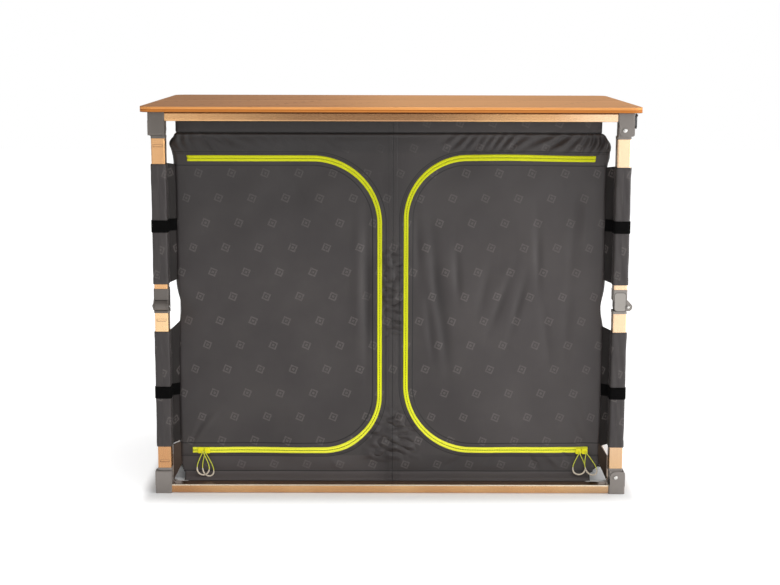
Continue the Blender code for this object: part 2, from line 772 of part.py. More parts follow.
def cabinet_mesh():
    half_w = cabinet_half
    half_d = -front_y
    neck_w = neck_half
    neck_d = half_d - NECK_SET
    levels = [(board_low - 2 * GAP, 1.0, 0.0), (shoulder_top, 1.0, 0.0)]
    for share in (0.14, 0.34, 0.62, 1.0):
        out = math.sin(share * math.pi / 2)
        levels.append((shoulder_top - SHOULDER_H * share, 1.0 - out, 0.0))
    top = shoulder_top - SHOULDER_H
    for i in range(1, 8):
        share = i / 8
        z = top + (cabinet_low - top) * share
        levels.append((z, 0.0, 0.0030 * math.sin(math.pi * share)))
    levels.append((cabinet_low, 0.0, 0.0))
    rings = []
    for z, neck, swell in levels:
        rings.append(
            plan_ring(
                half_w + (neck_w - half_w) * neck,
                half_d + (neck_d - half_d) * neck,
                CABINET_ROUND,
                z,
                swell,
            )
        )
    count = len(rings[0])
    points = [p for ring in rings for p in ring]
    faces = []
    for level in range(len(rings) - 1):
        for i in range(count):
            j = (i + 1) % count
            a = level * count
            b = a + count
            faces.append((a + i, b + i, b + j, a + j))
    mesh = bpy.data.meshes.new("cabinet")
    mesh.from_pydata(points, [], faces)
    obj = helper("cabinet_shell", mesh)
    wall = obj.modifiers.new("cloth", "SOLIDIFY")
    wall.thickness = CLOTH
    wall.offset = -1.0
    wall.use_even_offset = True
    shell = tidy(baked(obj))
    bpy.data.objects.remove(obj, do_unlink=True)

    front = front_y
    openings = [
        slab([door_ring(side, GAP / 2)], front - 0.01, front + 0.03, "y") for side in (-1, 1)
    ]
    notches = []
    for side in (-1, 1):
        edge = side * half_w
        notch = [
            (edge + side * 0.01, cabinet_low - 0.01),
            (edge + side * 0.01, cabinet_low + CUT_H * (1 + 0.01 / CUT_W)),
            (edge - side * CUT_W, cabinet_low),
            (edge - side * CUT_W, cabinet_low - 0.01),
        ]
        if side > 0:
            notch = notch[::-1]
        notches.append(slab([notch], front - 0.01, front + CABINET_ROUND, "y"))
    mesh = cut(shell, *openings, *notches)

    extras = []
    for side in (-1, 1):
        extras.append(
            zip_band(side, GAP / 2, ZIP_HALF, front - ZIP_T, front + CLOTH / 2)
        )
        x = side * slider_out
        extras.append(
            box(
                x - SLIDER_W / 2, x + SLIDER_W / 2,
                front - ZIP_T - SLIDER_T, front + CLOTH / 2,
                DOOR_LOW - SLIDER_H, DOOR_LOW - GAP / 2,
            )
        )
        extras.append(
            rod((x, peg_z), PULL_PEG_R, front - ZIP_T - SLIDER_T - peg_reach, front, "y", 8)
        )
    mesh = union(mesh, *extras)

    # Webs that tie the cabinet's corners to the sleeves on the legs
    reach = CABINET_ROUND * (1 - math.sqrt(0.5))
    webs = []
    for sx in (-1, 1):
        for sy in (-1, 1):
            start = Vector((sx * (half_w - reach - 0.0012), sy * (half_d - reach - 0.0012)))
            end = Vector((sx * (leg_x - wrap_half - 0.0006), sy * (leg_y - wrap_half - 0.0006)))
            along = (end - start).normalized()
            aside = Vector((-along.y, along.x)) * CLOTH / 2
            ring = [tuple(p) for p in (start + aside, start - aside, end - aside, end + aside)]
            ring = hull(ring)
            webs.append(slab([ring], wrap_mid_high, wrap_top))
            webs.append(slab([ring], wrap_low, wrap_mid_low))
    mesh = union(mesh, *webs)

    # Ledges sewn inside for the shelves, along both sides and the back
    ledges = []
    inside = half_w - CLOTH / 2
    for z in (shelf_low, shelf_high):
        high = z - SHELF_T / 2 - GAP
        for side in (-1, 1):
            ends = sorted((side * (inside - LEDGE_W), side * inside))
            ledges.append(
                box(
                    ends[0], ends[1],
                    -half_d + CABINET_ROUND * 1.4, half_d - CABINET_ROUND * 1.4,
                    high - CLOTH, high,
                )
            )
    return union(mesh, *ledges)


cabinet = piece("cabinet", cabinet_mesh(), cloth, top_frame)


# Doors: cloth panels on their outer edges, each with its own band of the zip
for side, label in ((-1, "left"), (1, "right")):
    leaf = slab([door_ring(side, -GAP / 2)], front_y, front_y + CLOTH, "y")
    trim = box(
        *sorted((side * (door_out - GAP / 2), side * (door_out + 0.05))),
        front_y - 0.01, front_y + 0.01, DOOR_LOW - 0.1, door_top + 0.1,
    )
    band = zip_band(side, -ZIP_HALF, -GAP / 2, front_y - ZIP_T, front_y + CLOTH / 2)
    hinge = pivot("pivot_door_" + label, (side * door_out, front_y, DOOR_LOW), top_frame)
    piece("door_" + label, union(cut(leaf, trim), band), cloth, hinge)


# Floor board on the bottom brackets' gussets, and two shelves on the ledges
def board_plate(half_x, half_y, low):
    return slab(
        [rounded_box(-half_x, half_x, -half_y, half_y, SHELF_ROUND)], low, low + SHELF_T
    )


floor_y = leg_y - rail_mid - RAIL_D / 2 - GAP - 0.001
notch_x = leg_x - block_in - GAP
notch_y = leg_y - block_in - GAP
floor_plate = board_plate(
    leg_x - rail_mid - RAIL_D / 2 - GAP - 0.001, floor_y, rail_low_z - SHELF_T
)
notches = []
for sx in (-1, 1):
    for sy in (-1, 1):
        xs = sorted((sx * (notch_x - 0.001), sx * (notch_x + 0.05)))
        ys = sorted((sy * (notch_y - 0.001), sy * (notch_y + 0.05)))
        notches.append(box(*xs, *ys, 0.0, rail_low_z + 0.01))
piece("floor_board", cut(floor_plate, *notches), panel)

shelf_x = cabinet_half - CLOTH - SHELF_CLEAR
shelf_y = -front_y - CLOTH - SHELF_CLEAR
for label, z in (("lower", shelf_low), ("upper", shelf_high)):
    carrier = pivot("slide_shelf_" + label, (0.0, 0.0, z))
    piece(
        "shelf_" + label,
        board_plate(shelf_x, shelf_y, z - SHELF_T / 2),
        panel,
        carrier,
    )


# Zip pulls: a cord loop with a sleeve round its foot, hung from each slider
def loop_path(x, y, top_z, lean):
    """A teardrop loop of cord below a slider, in a plane along the front."""
    path = []
    count = 20
    for i in range(count):
        t = i / count
        drop = (1 - math.cos(2 * math.pi * t)) / 2
        wide = math.sin(2 * math.pi * t) * math.sin(math.pi * drop * 0.5 + 0.25)
        path.append((x + lean * drop + wide * LOOP_W / 2, y, top_z - LOOP_DROP * drop))
    return path


for side, label in ((-1, "left"), (1, "right")):
    x = side * (slider_out - SLIDER_PITCH)
    path = loop_path(x, pull_near_y, pull_top - SLIDER_H / 2, -side * 0.003)
    cord = wire(path, CORD_R, closed=True)
    grip = wire(path[7:14], GRIP_R)
    slider = box(
        x - SLIDER_W / 2, x + SLIDER_W / 2,
        front_y - ZIP_T - GAP - SLIDER_T, front_y - ZIP_T - GAP,
        DOOR_LOW - SLIDER_H, DOOR_LOW + SLIDER_H * 0.6,
    )
    carrier = pivot("slide_zip_" + label, (x, front_y, DOOR_LOW))
    piece("zip_slider_" + label, union(cord, grip, slider), lime, carrier)

    x = side * slider_out
    top = Vector((x, pull_far_y, peg_z))
    path = loop_path(x, pull_far_y, pull_top, side * 0.003)
    cord = wire(path, CORD_R, closed=True)
    grip = wire(path[7:14], GRIP_R)
    carrier = pivot("swing_pull_" + label, tuple(top))
    piece("zip_pull_" + label, union(cord, grip), lime, carrier)

# Ring that hangs from its peg, a flattened loop of wire with a bar across
ring_x = leg_x + ring_out
ring_y = -leg_y + ring_back
ring_z = pivot_high + ring_up
radius = RING_W / 2
high = ring_z + RING_PEG_R + GAP / 2 + RING_WIRE
centre_high = high - radius
centre_low = high - RING_H + radius
oval = [(ring_x, ring_y + u, v) for u, v in arc(0.0, centre_high, radius, 0, 180, 8)]
oval += [(ring_x, ring_y + u, v) for u, v in arc(0.0, centre_low, radius, 180, 360, 8)]
bar_z = (centre_high + centre_low) / 2
bar = wire(
    [(ring_x, ring_y - radius, bar_z), (ring_x, ring_y + radius, bar_z)], RING_WIRE * 0.9
)
swing = pivot("swing_ring", (ring_x, ring_y, ring_z), top_frame)
piece("hanging_ring", union(wire(oval, RING_WIRE, closed=True), bar), black, swing)
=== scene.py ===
# %% [markdown]
# A folding camp cupboard: a bamboo board on a square aluminium frame, with a dark cloth cabinet
# hung inside it. The frame, boards and moulded pieces come packed from the model and only get
# finishes here. Everything sewn is made here as curved surfaces: cabinet, doors, zips, sleeves.

import math

import bmesh
import bpy
import numpy as np
from mathutils import Matrix, Vector


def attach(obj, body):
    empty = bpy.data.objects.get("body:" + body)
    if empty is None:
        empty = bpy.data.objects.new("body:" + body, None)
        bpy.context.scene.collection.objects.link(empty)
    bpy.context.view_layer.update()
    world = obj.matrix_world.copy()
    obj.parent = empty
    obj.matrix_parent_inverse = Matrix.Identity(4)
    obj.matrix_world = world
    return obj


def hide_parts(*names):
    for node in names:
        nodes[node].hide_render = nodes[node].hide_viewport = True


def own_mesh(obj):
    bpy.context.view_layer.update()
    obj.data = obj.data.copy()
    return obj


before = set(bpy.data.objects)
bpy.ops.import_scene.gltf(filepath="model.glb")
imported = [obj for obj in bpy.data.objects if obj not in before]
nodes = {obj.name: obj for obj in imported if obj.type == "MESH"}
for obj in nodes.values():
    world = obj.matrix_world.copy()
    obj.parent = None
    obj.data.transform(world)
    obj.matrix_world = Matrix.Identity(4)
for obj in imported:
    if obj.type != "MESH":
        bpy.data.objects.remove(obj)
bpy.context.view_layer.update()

# %% [markdown]
# The camera stands a little above the board, 3.4 m in front of its middle, with a long lens.
# Its place and angles were solved from the straight edges of the frame. A camera looks along
# its own -Z, so the three columns of its matrix are right, up and backwards.

# %% Camera
PICTURE_W, FOCAL_PX, SENSOR_MM = 780, 1561.47, 36.0
EYE = (-0.0074, -3.4021, 0.9530)
PITCH, YAW, ROLL = (math.radians(a) for a in (9.5819, 0.10706, -0.15333))


def camera_matrix():
    """Forward is yaw, then pitch down; right and up are then turned about it by the roll."""
    forward = Vector(
        (math.sin(YAW) * math.cos(PITCH), math.cos(YAW) * math.cos(PITCH), -math.sin(PITCH))
    )
    right = forward.cross(Vector((0, 0, 1))).normalized()
    up = right.cross(forward)
    turned = math.cos(ROLL) * right - math.sin(ROLL) * up
    upright = math.sin(ROLL) * right + math.cos(ROLL) * up
    turn = Matrix((turned, upright, -forward)).transposed().to_4x4()
    return Matrix.Translation(EYE) @ turn


lens = bpy.data.cameras.new("camera")
lens.sensor_width = SENSOR_MM
lens.lens = FOCAL_PX * SENSOR_MM / PICTURE_W
lens.clip_end = 60.0
camera = bpy.data.objects.new("camera", lens)
camera.matrix_world = camera_matrix()
bpy.context.scene.collection.objects.link(camera)
bpy.context.scene.camera = camera
print("lens of", round(lens.lens, 2), "mm")

# %% [markdown]
# A material is a net of nodes, and so is the studio's light. Written out node by node it is
# hard to read, so small classes let it be written as a sum: each sum, product or sine makes one
# node. Colours are told as eight-bit numbers, and tints are laid over them one by one.


# %% Sums as nodes
def feed(tree, socket, value):
    """Links a wire or a socket to a socket, or sets the socket to a plain value."""
    value = getattr(value, "socket", value)
    if isinstance(value, bpy.types.NodeSocket):
        tree.links.new(value, socket)
    else:
        socket.default_value = value


def add_node(tree, kind, inputs, **settings):
    """The outputs of a new node. Its inputs are told by name or by number."""
    node = tree.nodes.new("ShaderNode" + kind)
    for key, value in settings.items():
        setattr(node, key, value)
    for key, value in inputs.items():
        feed(tree, node.inputs[key], value)
    return node.outputs


class Wire:
    """A value on its way through a net of nodes."""

    def __init__(self, tree, socket):
        self.tree, self.socket = tree, socket

    def calc(self, kind, *others):
        inputs = dict(enumerate((self, *others)))
        return Wire(self.tree, add_node(self.tree, "Math", inputs, operation=kind)[0])

    def __add__(self, other):
        return self.calc("ADD", other)

    def __sub__(self, other):
        return self.calc("SUBTRACT", other)

    def __mul__(self, other):
        return self.calc("MULTIPLY", other)

    def wave(self, length):
        return (self * (2 * math.pi / length)).calc("SINE")

    def size(self):
        return self.calc("ABSOLUTE")

    def over(self, low):
        """What the value has above low, and 0 below."""
        return (self - low).calc("MAXIMUM", 0.0)

    def step(self, low, high):
        """0 below low, 1 above high, and a smooth rise between; the other way where low > high."""
        ends = {"From Min": min(low, high), "From Max": max(low, high)}
        ends |= {"To Min": float(low > high), "To Max": float(low < high), "Value": self}
        rise_node = add_node(self.tree, "MapRange", ends, interpolation_type="SMOOTHSTEP")
        return Wire(self.tree, rise_node["Result"])

    def line(self, middle, half, soft):
        """1 within half of the middle, falling to 0 over soft."""
        return (self - middle).size().step(half + soft, half)

    def repeat(self, length):
        """The part of the value within one length, around zero."""
        return (self * (1 / length) + 0.5).calc("FRACT") * length - length / 2


def linear(red, green, blue):
    """A colour told as eight-bit numbers, as linear light."""
    c = np.array((red, green, blue)) / 255
    return (*np.where(c <= 0.04045, c / 12.92, ((c + 0.055) / 1.055) ** 2.4).tolist(), 1.0)


class Net:
    """A net of nodes, and the helpers that add to it."""

    def __init__(self, tree):
        self.tree = tree

    def wire(self, kind, inputs, output=0, **settings):
        return Wire(self.tree, add_node(self.tree, kind, inputs, **settings)[output])

    def axes(self, kind="Object"):
        """x, y and z of the object's own coordinates, or u, v and 0 of its UV map."""
        place = add_node(self.tree, "TexCoord", {})[kind]
        return [Wire(self.tree, part) for part in add_node(self.tree, "SeparateXYZ", {0: place})]

    def noise(self, parts, scale=1.0, detail=3.0, roughness=0.5):
        """Noise over three values, between 0 and 1."""
        place = add_node(self.tree, "CombineXYZ", dict(enumerate(parts)))[0]
        inputs = {"Vector": place, "Scale": scale, "Detail": detail, "Roughness": roughness}
        return self.wire("TexNoise", inputs)

    def attribute(self, name):
        return self.wire("Attribute", {}, "Fac", attribute_name=name)

    def layers(self, colour, *tints):
        """A colour with tints laid over it, each told as (share, colour).

        A colour is a tuple of eight-bit numbers, a list in linear light or a socket. Inputs
        6 and 7 of a Mix node are its two colours, and output 2 is the mixed one."""
        for share, tint in tints:
            pair = (linear(*c) if isinstance(c, tuple) else c for c in (colour, tint))
            inputs = {0: share, **dict(zip((6, 7), pair))}
            colour = add_node(self.tree, "Mix", inputs, data_type="RGBA")[2]
        return colour


class Finish(Net):
    """One material. Its shader's inputs are told by name, with _ for a space."""

    def __init__(self, name, roughness=0.5, metallic=0.0, **sockets):
        self.material = bpy.data.materials.new(name)
        self.material.use_nodes = True
        super().__init__(self.material.node_tree)
        self.set(Roughness=roughness, Metallic=metallic, **sockets)

    def set(self, **sockets):
        shader = self.tree.nodes["Principled BSDF"]
        for key, value in sockets.items():
            feed(self.tree, shader.inputs[key.replace("_", " ")], value)
        return self

    def colours(self, colour, *tints):
        return self.set(Base_Color=self.layers(colour, *tints))

    def bump(self, height, depth=0.001, strength=1.0):
        """height is told in shares of depth, in metres."""
        inputs = {"Distance": depth, "Strength": strength, "Height": height}
        return self.set(Normal=add_node(self.tree, "Bump", inputs)["Normal"])

    def paint(self, *objects):
        for obj in objects:
            if obj.data.materials:
                for slot in obj.material_slots:
                    slot.material = self.material
            else:
                obj.data.materials.append(self.material)
        return self


print("materials can now be written as sums")

# %% [markdown]
# The light is a white studio. The surround is white to the camera; as light it is bright on the
# right, dimmer on the left and dark in front, where a photographer would stand, and that gives
# the rails and tubes their gradients. Soft boxes stand in front, at the right and above.

# %% Surround and lamps
scene = bpy.context.scene
scene.view_settings.view_transform = "Standard"
world = bpy.data.worlds.new("studio")
world.use_nodes = True
scene.world = world
WHITE = (1.0, 1.0, 1.0, 1.0)


def surround(tree):
    """Light from a direction (x, y, z): 0.47 + 0.38 x, but dark within a patch at the front.

    The patch is a smooth step of the cosine between the direction and the patch's middle.
    Rays that come straight from the camera see plain white instead."""
    net, background = Net(tree), tree.nodes["Background"]
    x, y, z = net.axes("Generated")
    cosine = x * -0.035 + y * -0.998 + z * -0.03
    light = (x * 0.38 + 0.47) * cosine.step(0.998, 0.972)
    camera_ray = net.wire("LightPath", {}, "Is Camera Ray")
    strength = net.wire("Mix", {"Factor": camera_ray, "A": light, "B": 1.0}, "Result")
    feed(tree, background.inputs["Strength"], strength)
    feed(tree, background.inputs["Color"], WHITE)


surround(world.node_tree)


def softbox(name, place, aim, size, power):
    """A square area lamp at a place, looking at a point."""
    light = bpy.data.lights.new(name, "AREA")
    light.size, light.energy = size, power
    lamp = bpy.data.objects.new(name, light)
    turn = (Vector(aim) - Vector(place)).to_track_quat("-Z", "Y").to_matrix().to_4x4()
    lamp.matrix_world = Matrix.Translation(place) @ turn
    scene.collection.objects.link(lamp)


softbox("key", (2.0, -3.5, 1.1), (0.1, 0.0, 0.4), 2.8, 34.0)
softbox("side", (2.9, -1.15, 0.80), (0.2, -0.27, 0.42), 0.8, 30.0)
softbox("card", (-1.15, -3.5, 0.55), (-0.4, 0.0, 0.5), 0.9, 2.0)
softbox("fill", (-2.4, -2.2, 1.2), (0.0, 0.0, 0.4), 1.6, 8.0)
softbox("top", (0.6, -0.4, 3.0), (0.0, 0.0, 0.0), 2.4, 20.0)
print("the studio has", len(bpy.data.lights), "soft boxes")

# %% [markdown]
# Every new piece is a grid of points worked out with numpy. Helpers turn such arrays into
# meshes by joining the grid row by row, and give cloth its thickness.


# %% Grids to meshes
def grid_faces(rows, columns, wrap_rows=False, wrap_columns=False):
    """Each face joins a point with the next in its row and the same two in the next row."""
    r = np.arange(rows if wrap_rows else rows - 1)
    c = np.arange(columns if wrap_columns else columns - 1)
    r, c = np.meshgrid(r, c, indexing="ij")
    r2, c2 = (r + 1) % rows, (c + 1) % columns
    corners = (r * columns + c, r * columns + c2, r2 * columns + c2, r2 * columns + c)
    return np.stack(corners, -1).reshape(-1, 4)


def new_mesh(name, points, faces, uv=None, **numbers):
    """A smooth mesh from an array of points and four-cornered faces, with its own UV map."""
    faces = np.asarray(faces)
    used, index = np.unique(faces, return_inverse=True)
    points, faces = np.asarray(points).reshape(-1, 3)[used], index.reshape(faces.shape)
    mesh = bpy.data.meshes.new(name)
    mesh.from_pydata(points.tolist(), [], faces.tolist())
    if uv is not None:
        layer = mesh.uv_layers.new(name="UVMap")
        layer.data.foreach_set("uv", np.asarray(uv).reshape(-1, 2)[used][faces.ravel()].ravel())
    for key, values in numbers.items():
        data = mesh.attributes.new(key, "FLOAT", "POINT").data
        data.foreach_set("value", np.asarray(values, np.float32).ravel()[used])
    mesh.polygons.foreach_set("use_smooth", np.ones(len(faces), bool))
    mesh.validate()
    mesh.update()
    obj = bpy.data.objects.new(name, mesh)
    scene.collection.objects.link(obj)
    return obj


def grid_mesh(name, points, uv=None, wrap=(False, True)):
    """A mesh from rows of points. wrap says whether the rows and the columns close up.

    uv is a pair of arrays that spread over the grid."""
    uv = None if uv is None else np.stack(np.broadcast_arrays(*uv), -1)
    return new_mesh(name, points, grid_faces(*points.shape[:2], *wrap), uv)


def cloth_wall(obj, thickness, offset=-1.0):
    """Gives an open surface its thickness, on the inner side or at offset. Its rim stays sharp."""
    mesh = obj.data
    loops = np.zeros(len(mesh.loops), np.int32)
    mesh.loops.foreach_get("edge_index", loops)
    mesh.edges.foreach_set("use_edge_sharp", np.bincount(loops, minlength=len(mesh.edges)) == 1)
    wall = obj.modifiers.new("thickness", "SOLIDIFY")
    wall.thickness, wall.offset = thickness, offset
    return obj


print("a grid of 3 by 4 points has", len(grid_faces(3, 4)), "faces")

# %% [markdown]
# Cords are rings carried along a path. Coils and stitches are many copies of one small shape,
# each turned into its own directions.


# %% Profiles along paths
def run_length(points):
    """The length gone along a run of points, from 0 at the first."""
    return np.concatenate([[0], np.cumsum(np.linalg.norm(np.diff(points, axis=0), axis=1))])


def tube(name, path, radius, around=10, aside=(0.0, 1.0, 0.0)):
    """A round tube: ring point = path point + radius (cos a * side + sin a * other).

    Each end has a smaller ring and a tip, so it is round and closed."""
    path = np.asarray(path, float)
    along = np.gradient(path, axis=0)
    along /= np.linalg.norm(along, axis=1, keepdims=True)
    side = np.cross(along, np.broadcast_to(aside, along.shape))
    side /= np.linalg.norm(side, axis=1, keepdims=True)
    other = np.cross(along, side)
    angle = np.linspace(0, 2 * np.pi, around, endpoint=False)
    radius = np.broadcast_to(radius, len(path))[:, None, None]
    ring = np.cos(angle)[:, None] * side[:, None] + np.sin(angle)[:, None] * other[:, None]
    points = path[:, None] + radius * ring

    def end(i, sign):
        out = sign * radius[i] * along[i]
        last = path[i] + (points[[i]] - path[i]) * 0.6 + out * 0.5
        return last, np.broadcast_to(path[i] + out * 0.62, last.shape)

    (near, near_tip), (far, far_tip) = end(0, -1), end(-1, 1)
    points = np.concatenate([near_tip, near, points, far, far_tip])
    v = np.pad(run_length(path), 2, "edge")
    return merged(grid_mesh(name, points, (angle[None] * 0.001, v[:, None])))


def merged(obj, distance=1e-6):
    """Points that lie on each other become one, and all faces then look outwards."""
    shape = bmesh.new()
    shape.from_mesh(obj.data)
    bmesh.ops.remove_doubles(shape, verts=shape.verts, dist=distance)
    bmesh.ops.dissolve_degenerate(shape, edges=shape.edges, dist=distance)
    bmesh.ops.recalc_face_normals(shape, faces=shape.faces)
    shape.to_mesh(obj.data)
    shape.free()
    return obj


def strew(name, seed, seed_faces, places, right, up, out):
    """Copies of a small shape: point = place + x * right + y * up + z * out for each place."""
    seed = np.asarray(seed, float)
    axes = np.stack([right, up, out], 1)
    points = places[:, None] + np.einsum("pk,nkc->npc", seed, axes)
    faces = np.asarray(seed_faces)[None] + (np.arange(len(places)) * len(seed))[:, None, None]
    return new_mesh(name, points, faces.reshape(-1, 4))


print("helpers for tubes and rows of small shapes are ready")

# %% [markdown]
# The cabinet is one strip of cloth that goes round a rectangle with rounded corners. A place on
# it is told by two lengths: s, along the wall from the middle of the front, and z, the height.
# All sewn pieces are cut from this one surface, so doors, zips and seams always lie on it.

# %% The wall's plan line
HALF_W, HALF_D, CORNER = 0.446, 0.2267, 0.008
CABINET_LOW, CABINET_TOP = 0.0198, 0.7873
HEM_TOP, NECK_Z, NECK_IN_Y = 0.0345, 0.745, 0.003
NECK_IN_LEFT, NECK_IN_RIGHT = 0.0078, 0.0170
STRAIGHT_FRONT, STRAIGHT_SIDE = HALF_W - CORNER, HALF_D - CORNER
QUARTER = CORNER * math.pi / 2
HALF_ROUND = 2 * (STRAIGHT_FRONT + STRAIGHT_SIDE + QUARTER)


def plan(s):
    """Half of the way round is a front run, a quarter turn, a side run, a turn and a back run.

    t is the length gone so far; each run or turn takes its own share of it. The left half is
    the right half with x turned over. Returns x, y and the outward direction."""
    side, t = np.sign(s) + (s == 0), np.abs(s)
    front = np.clip(t, 0, STRAIGHT_FRONT)
    t = t - STRAIGHT_FRONT
    first = np.clip(t, 0, QUARTER) / CORNER
    t = t - QUARTER
    along = np.clip(t, 0, 2 * STRAIGHT_SIDE)
    t = t - 2 * STRAIGHT_SIDE
    second = np.clip(t, 0, QUARTER) / CORNER
    back = np.clip(t - QUARTER, 0, STRAIGHT_FRONT)
    x = front + CORNER * np.sin(first) - CORNER * (1 - np.cos(second)) - back
    y = -HALF_D + CORNER * (1 - np.cos(first)) + along + CORNER * np.sin(second)
    angle = first + second - math.pi / 2
    return side * x, y, side * np.cos(angle), np.sin(angle)


print("the wall is", round(2 * HALF_ROUND, 3), "m round")

# %% [markdown]
# Cloth is never flat. Between the rails it is drawn in to a neck, below that it puffs out to
# its full width in short slanting puckers. At the elbows, where nothing holds it, the edge
# bows inwards. The large panels carry long shallow waves.

# %% Folds
chance = np.random.default_rng(11)
WAVES = [
    (2 * math.pi / length, chance.uniform(0, math.pi), chance.uniform(0, 2 * math.pi), size)
    for length, size in zip(
        (0.31, 0.26, 0.21, 0.17, 0.14, 0.12, 0.10, 0.085, 0.07, 0.06),
        (0.0012, 0.0010, 0.0008, 0.0007, 0.0005, 0.0004, 0.0003, 0.00025, 0.0002, 0.00015),
    )
]
CORNER_S = STRAIGHT_FRONT + QUARTER / 2
REAR_S = HALF_ROUND - CORNER_S


def hump(value, middle, width):
    """A bell of height one."""
    return np.exp(-(((value - middle) / width) ** 2))


def rise(value, low, high):
    """0 below low, 1 above high, and between them the smooth step 3 a a - 2 a a a."""
    a = np.clip((value - low) / (high - low), 0, 1)
    return a * a * (3 - 2 * a)


def waves(s, z):
    """The sum of ten long waves that run in ten directions."""
    return sum(a * np.sin(k * (s * math.cos(w) + z * math.sin(w)) + p) for k, w, p, a in WAVES)


PUCKER_STEP, PUCKER_Z, PUCKER_SIZE = 0.0265, 0.7260, 0.0130


def puckers(s, z):
    """Slanting ridges some 26 mm apart under the neck, strongest at the front right corner.

    The right half's ridges lean outwards as they rise; the left half's are short."""
    t = np.abs(s)
    place = (t - 0.95 * (z - NECK_Z)) / PUCKER_STEP + 0.7 * np.sin(t * 27.0 + 1.0) + (s < 0) * 0.4
    ridge = (0.40 - np.abs(np.cos(np.pi * place)) ** 2.0) * (0.72 + 0.28 * np.sin(t * 61.0))
    right = np.where(s > 0, 1.0, 0.40)
    near = right * (0.34 + 0.66 * np.exp(-np.abs(t - CORNER_S + 0.035) / 0.055))
    return PUCKER_SIZE * ridge * near * hump(z, PUCKER_Z, 0.0150) * rise(t, 0.08, 0.14)


CREASE_SCALE = 1.6
# s and z of the middle, lean ds / dz, half the length in z, width and depth
CREASES = [
    (-0.374, 0.7237, -0.78, 0.02, 0.004, -0.004),
    (-0.348, 0.729, -1.3, 0.01, 0.005, -0.0022),
    (-0.33, 0.729, -0.5, 0.012, 0.0035, -0.0014),
    (-0.053, 0.42, 0.0, 0.12, 0.009, -0.0052),
    (-0.072, 0.43, 0.0, 0.12, 0.011, 0.0016),
    (0.09, 0.44, -0.09, 0.085, 0.011, -0.0042),
    (0.078, 0.34, -0.12, 0.06, 0.008, -0.0026),
    (0.108, 0.33, -0.09, 0.07, 0.01, -0.003),
    (0.052, 0.51, -0.05, 0.06, 0.008, -0.0022),
    (0.134, 0.455, -0.06, 0.05, 0.008, -0.0026),
    (0.19, 0.42, 0.2, 0.05, 0.01, -0.0014),
    (0.226, 0.4, 0.35, 0.06, 0.009, -0.0018),
    (0.262, 0.39, 0.25, 0.055, 0.008, -0.0022),
    (0.302, 0.495, -0.03, 0.06, 0.0075, -0.0026),
    (0.322, 0.33, -0.14, 0.06, 0.009, -0.0018),
    (0.365, 0.36, 0.05, 0.07, 0.01, -0.0018),
    (0.398, 0.56, 0.03, 0.055, 0.011, 0.0024),
    (0.372, 0.52, 0.04, 0.06, 0.009, -0.0014),
    (0.0, 0.43, 0.2, 0.03, 0.0035, -0.0014),
    (-0.006, 0.402, -0.5, 0.02, 0.0032, -0.0014),
    (0.006, 0.375, 0.6, 0.02, 0.0032, -0.0013),
    (-0.004, 0.465, -0.25, 0.03, 0.0035, 0.0012),
    (0.003, 0.335, -0.4, 0.022, 0.0035, -0.001),
    (0.0, 0.168, -2.4, 0.01, 0.01, -0.002),
    (-0.004, 0.133, -2.8, 0.009, 0.012, -0.002),
    (0.01, 0.15, 2.2, 0.009, 0.01, 0.0016),
    (-0.04, 0.116, -2.2, 0.009, 0.012, -0.0018),
    (0.045, 0.118, 2.2, 0.009, 0.012, -0.0016),
    (-0.405, 0.122, 0.55, 0.03, 0.006, -0.0014),
    (-0.385, 0.134, 0.75, 0.034, 0.007, 0.0012),
    (0.412, 0.15, -0.45, 0.045, 0.007, 0.0014),
    (0.395, 0.115, -0.6, 0.03, 0.006, -0.002),
    (0.368, 0.072, -0.9, 0.016, 0.006, -0.0016),
    (0.34, 0.06, -0.9, 0.016, 0.006, 0.0014),
    (-0.12, 0.056, -0.9, 0.016, 0.006, 0.001),
    (0.205, 0.06, 0.8, 0.018, 0.007, -0.0014),
    (0.13, 0.056, 1.2, 0.014, 0.007, -0.0012),
    (0.3, 0.056, -0.6, 0.016, 0.006, -0.0012),
]


def creases(s, z):
    """Single folds: each a bell across a slanting line, faded out towards its ends."""
    total = 0.0
    for s0, z0, lean, reach, width, depth in CREASES:
        total = total + depth * hump(s - s0 - lean * (z - z0), 0.0, width) * hump(z, z0, reach)
    return CREASE_SCALE * total


def depth_of_fold(s, z):
    """How deep a point lies in a fold: 0 on the flat, 1 in puckers 5 mm deep. The cloth's finish
    paints shade into the folds by it.
    """
    return np.clip(-(puckers(s, z) + 0.5 * creases(s, z)) / 0.005, 0, 1)


def flare(z):
    """The hem turns outwards over the floor board, from 1 at the bottom edge to 0 above."""
    return 1 - rise(z, CABINET_LOW, HEM_TOP)


SHELF_Z, WAIST_Z = (0.262, 0.505), 0.385


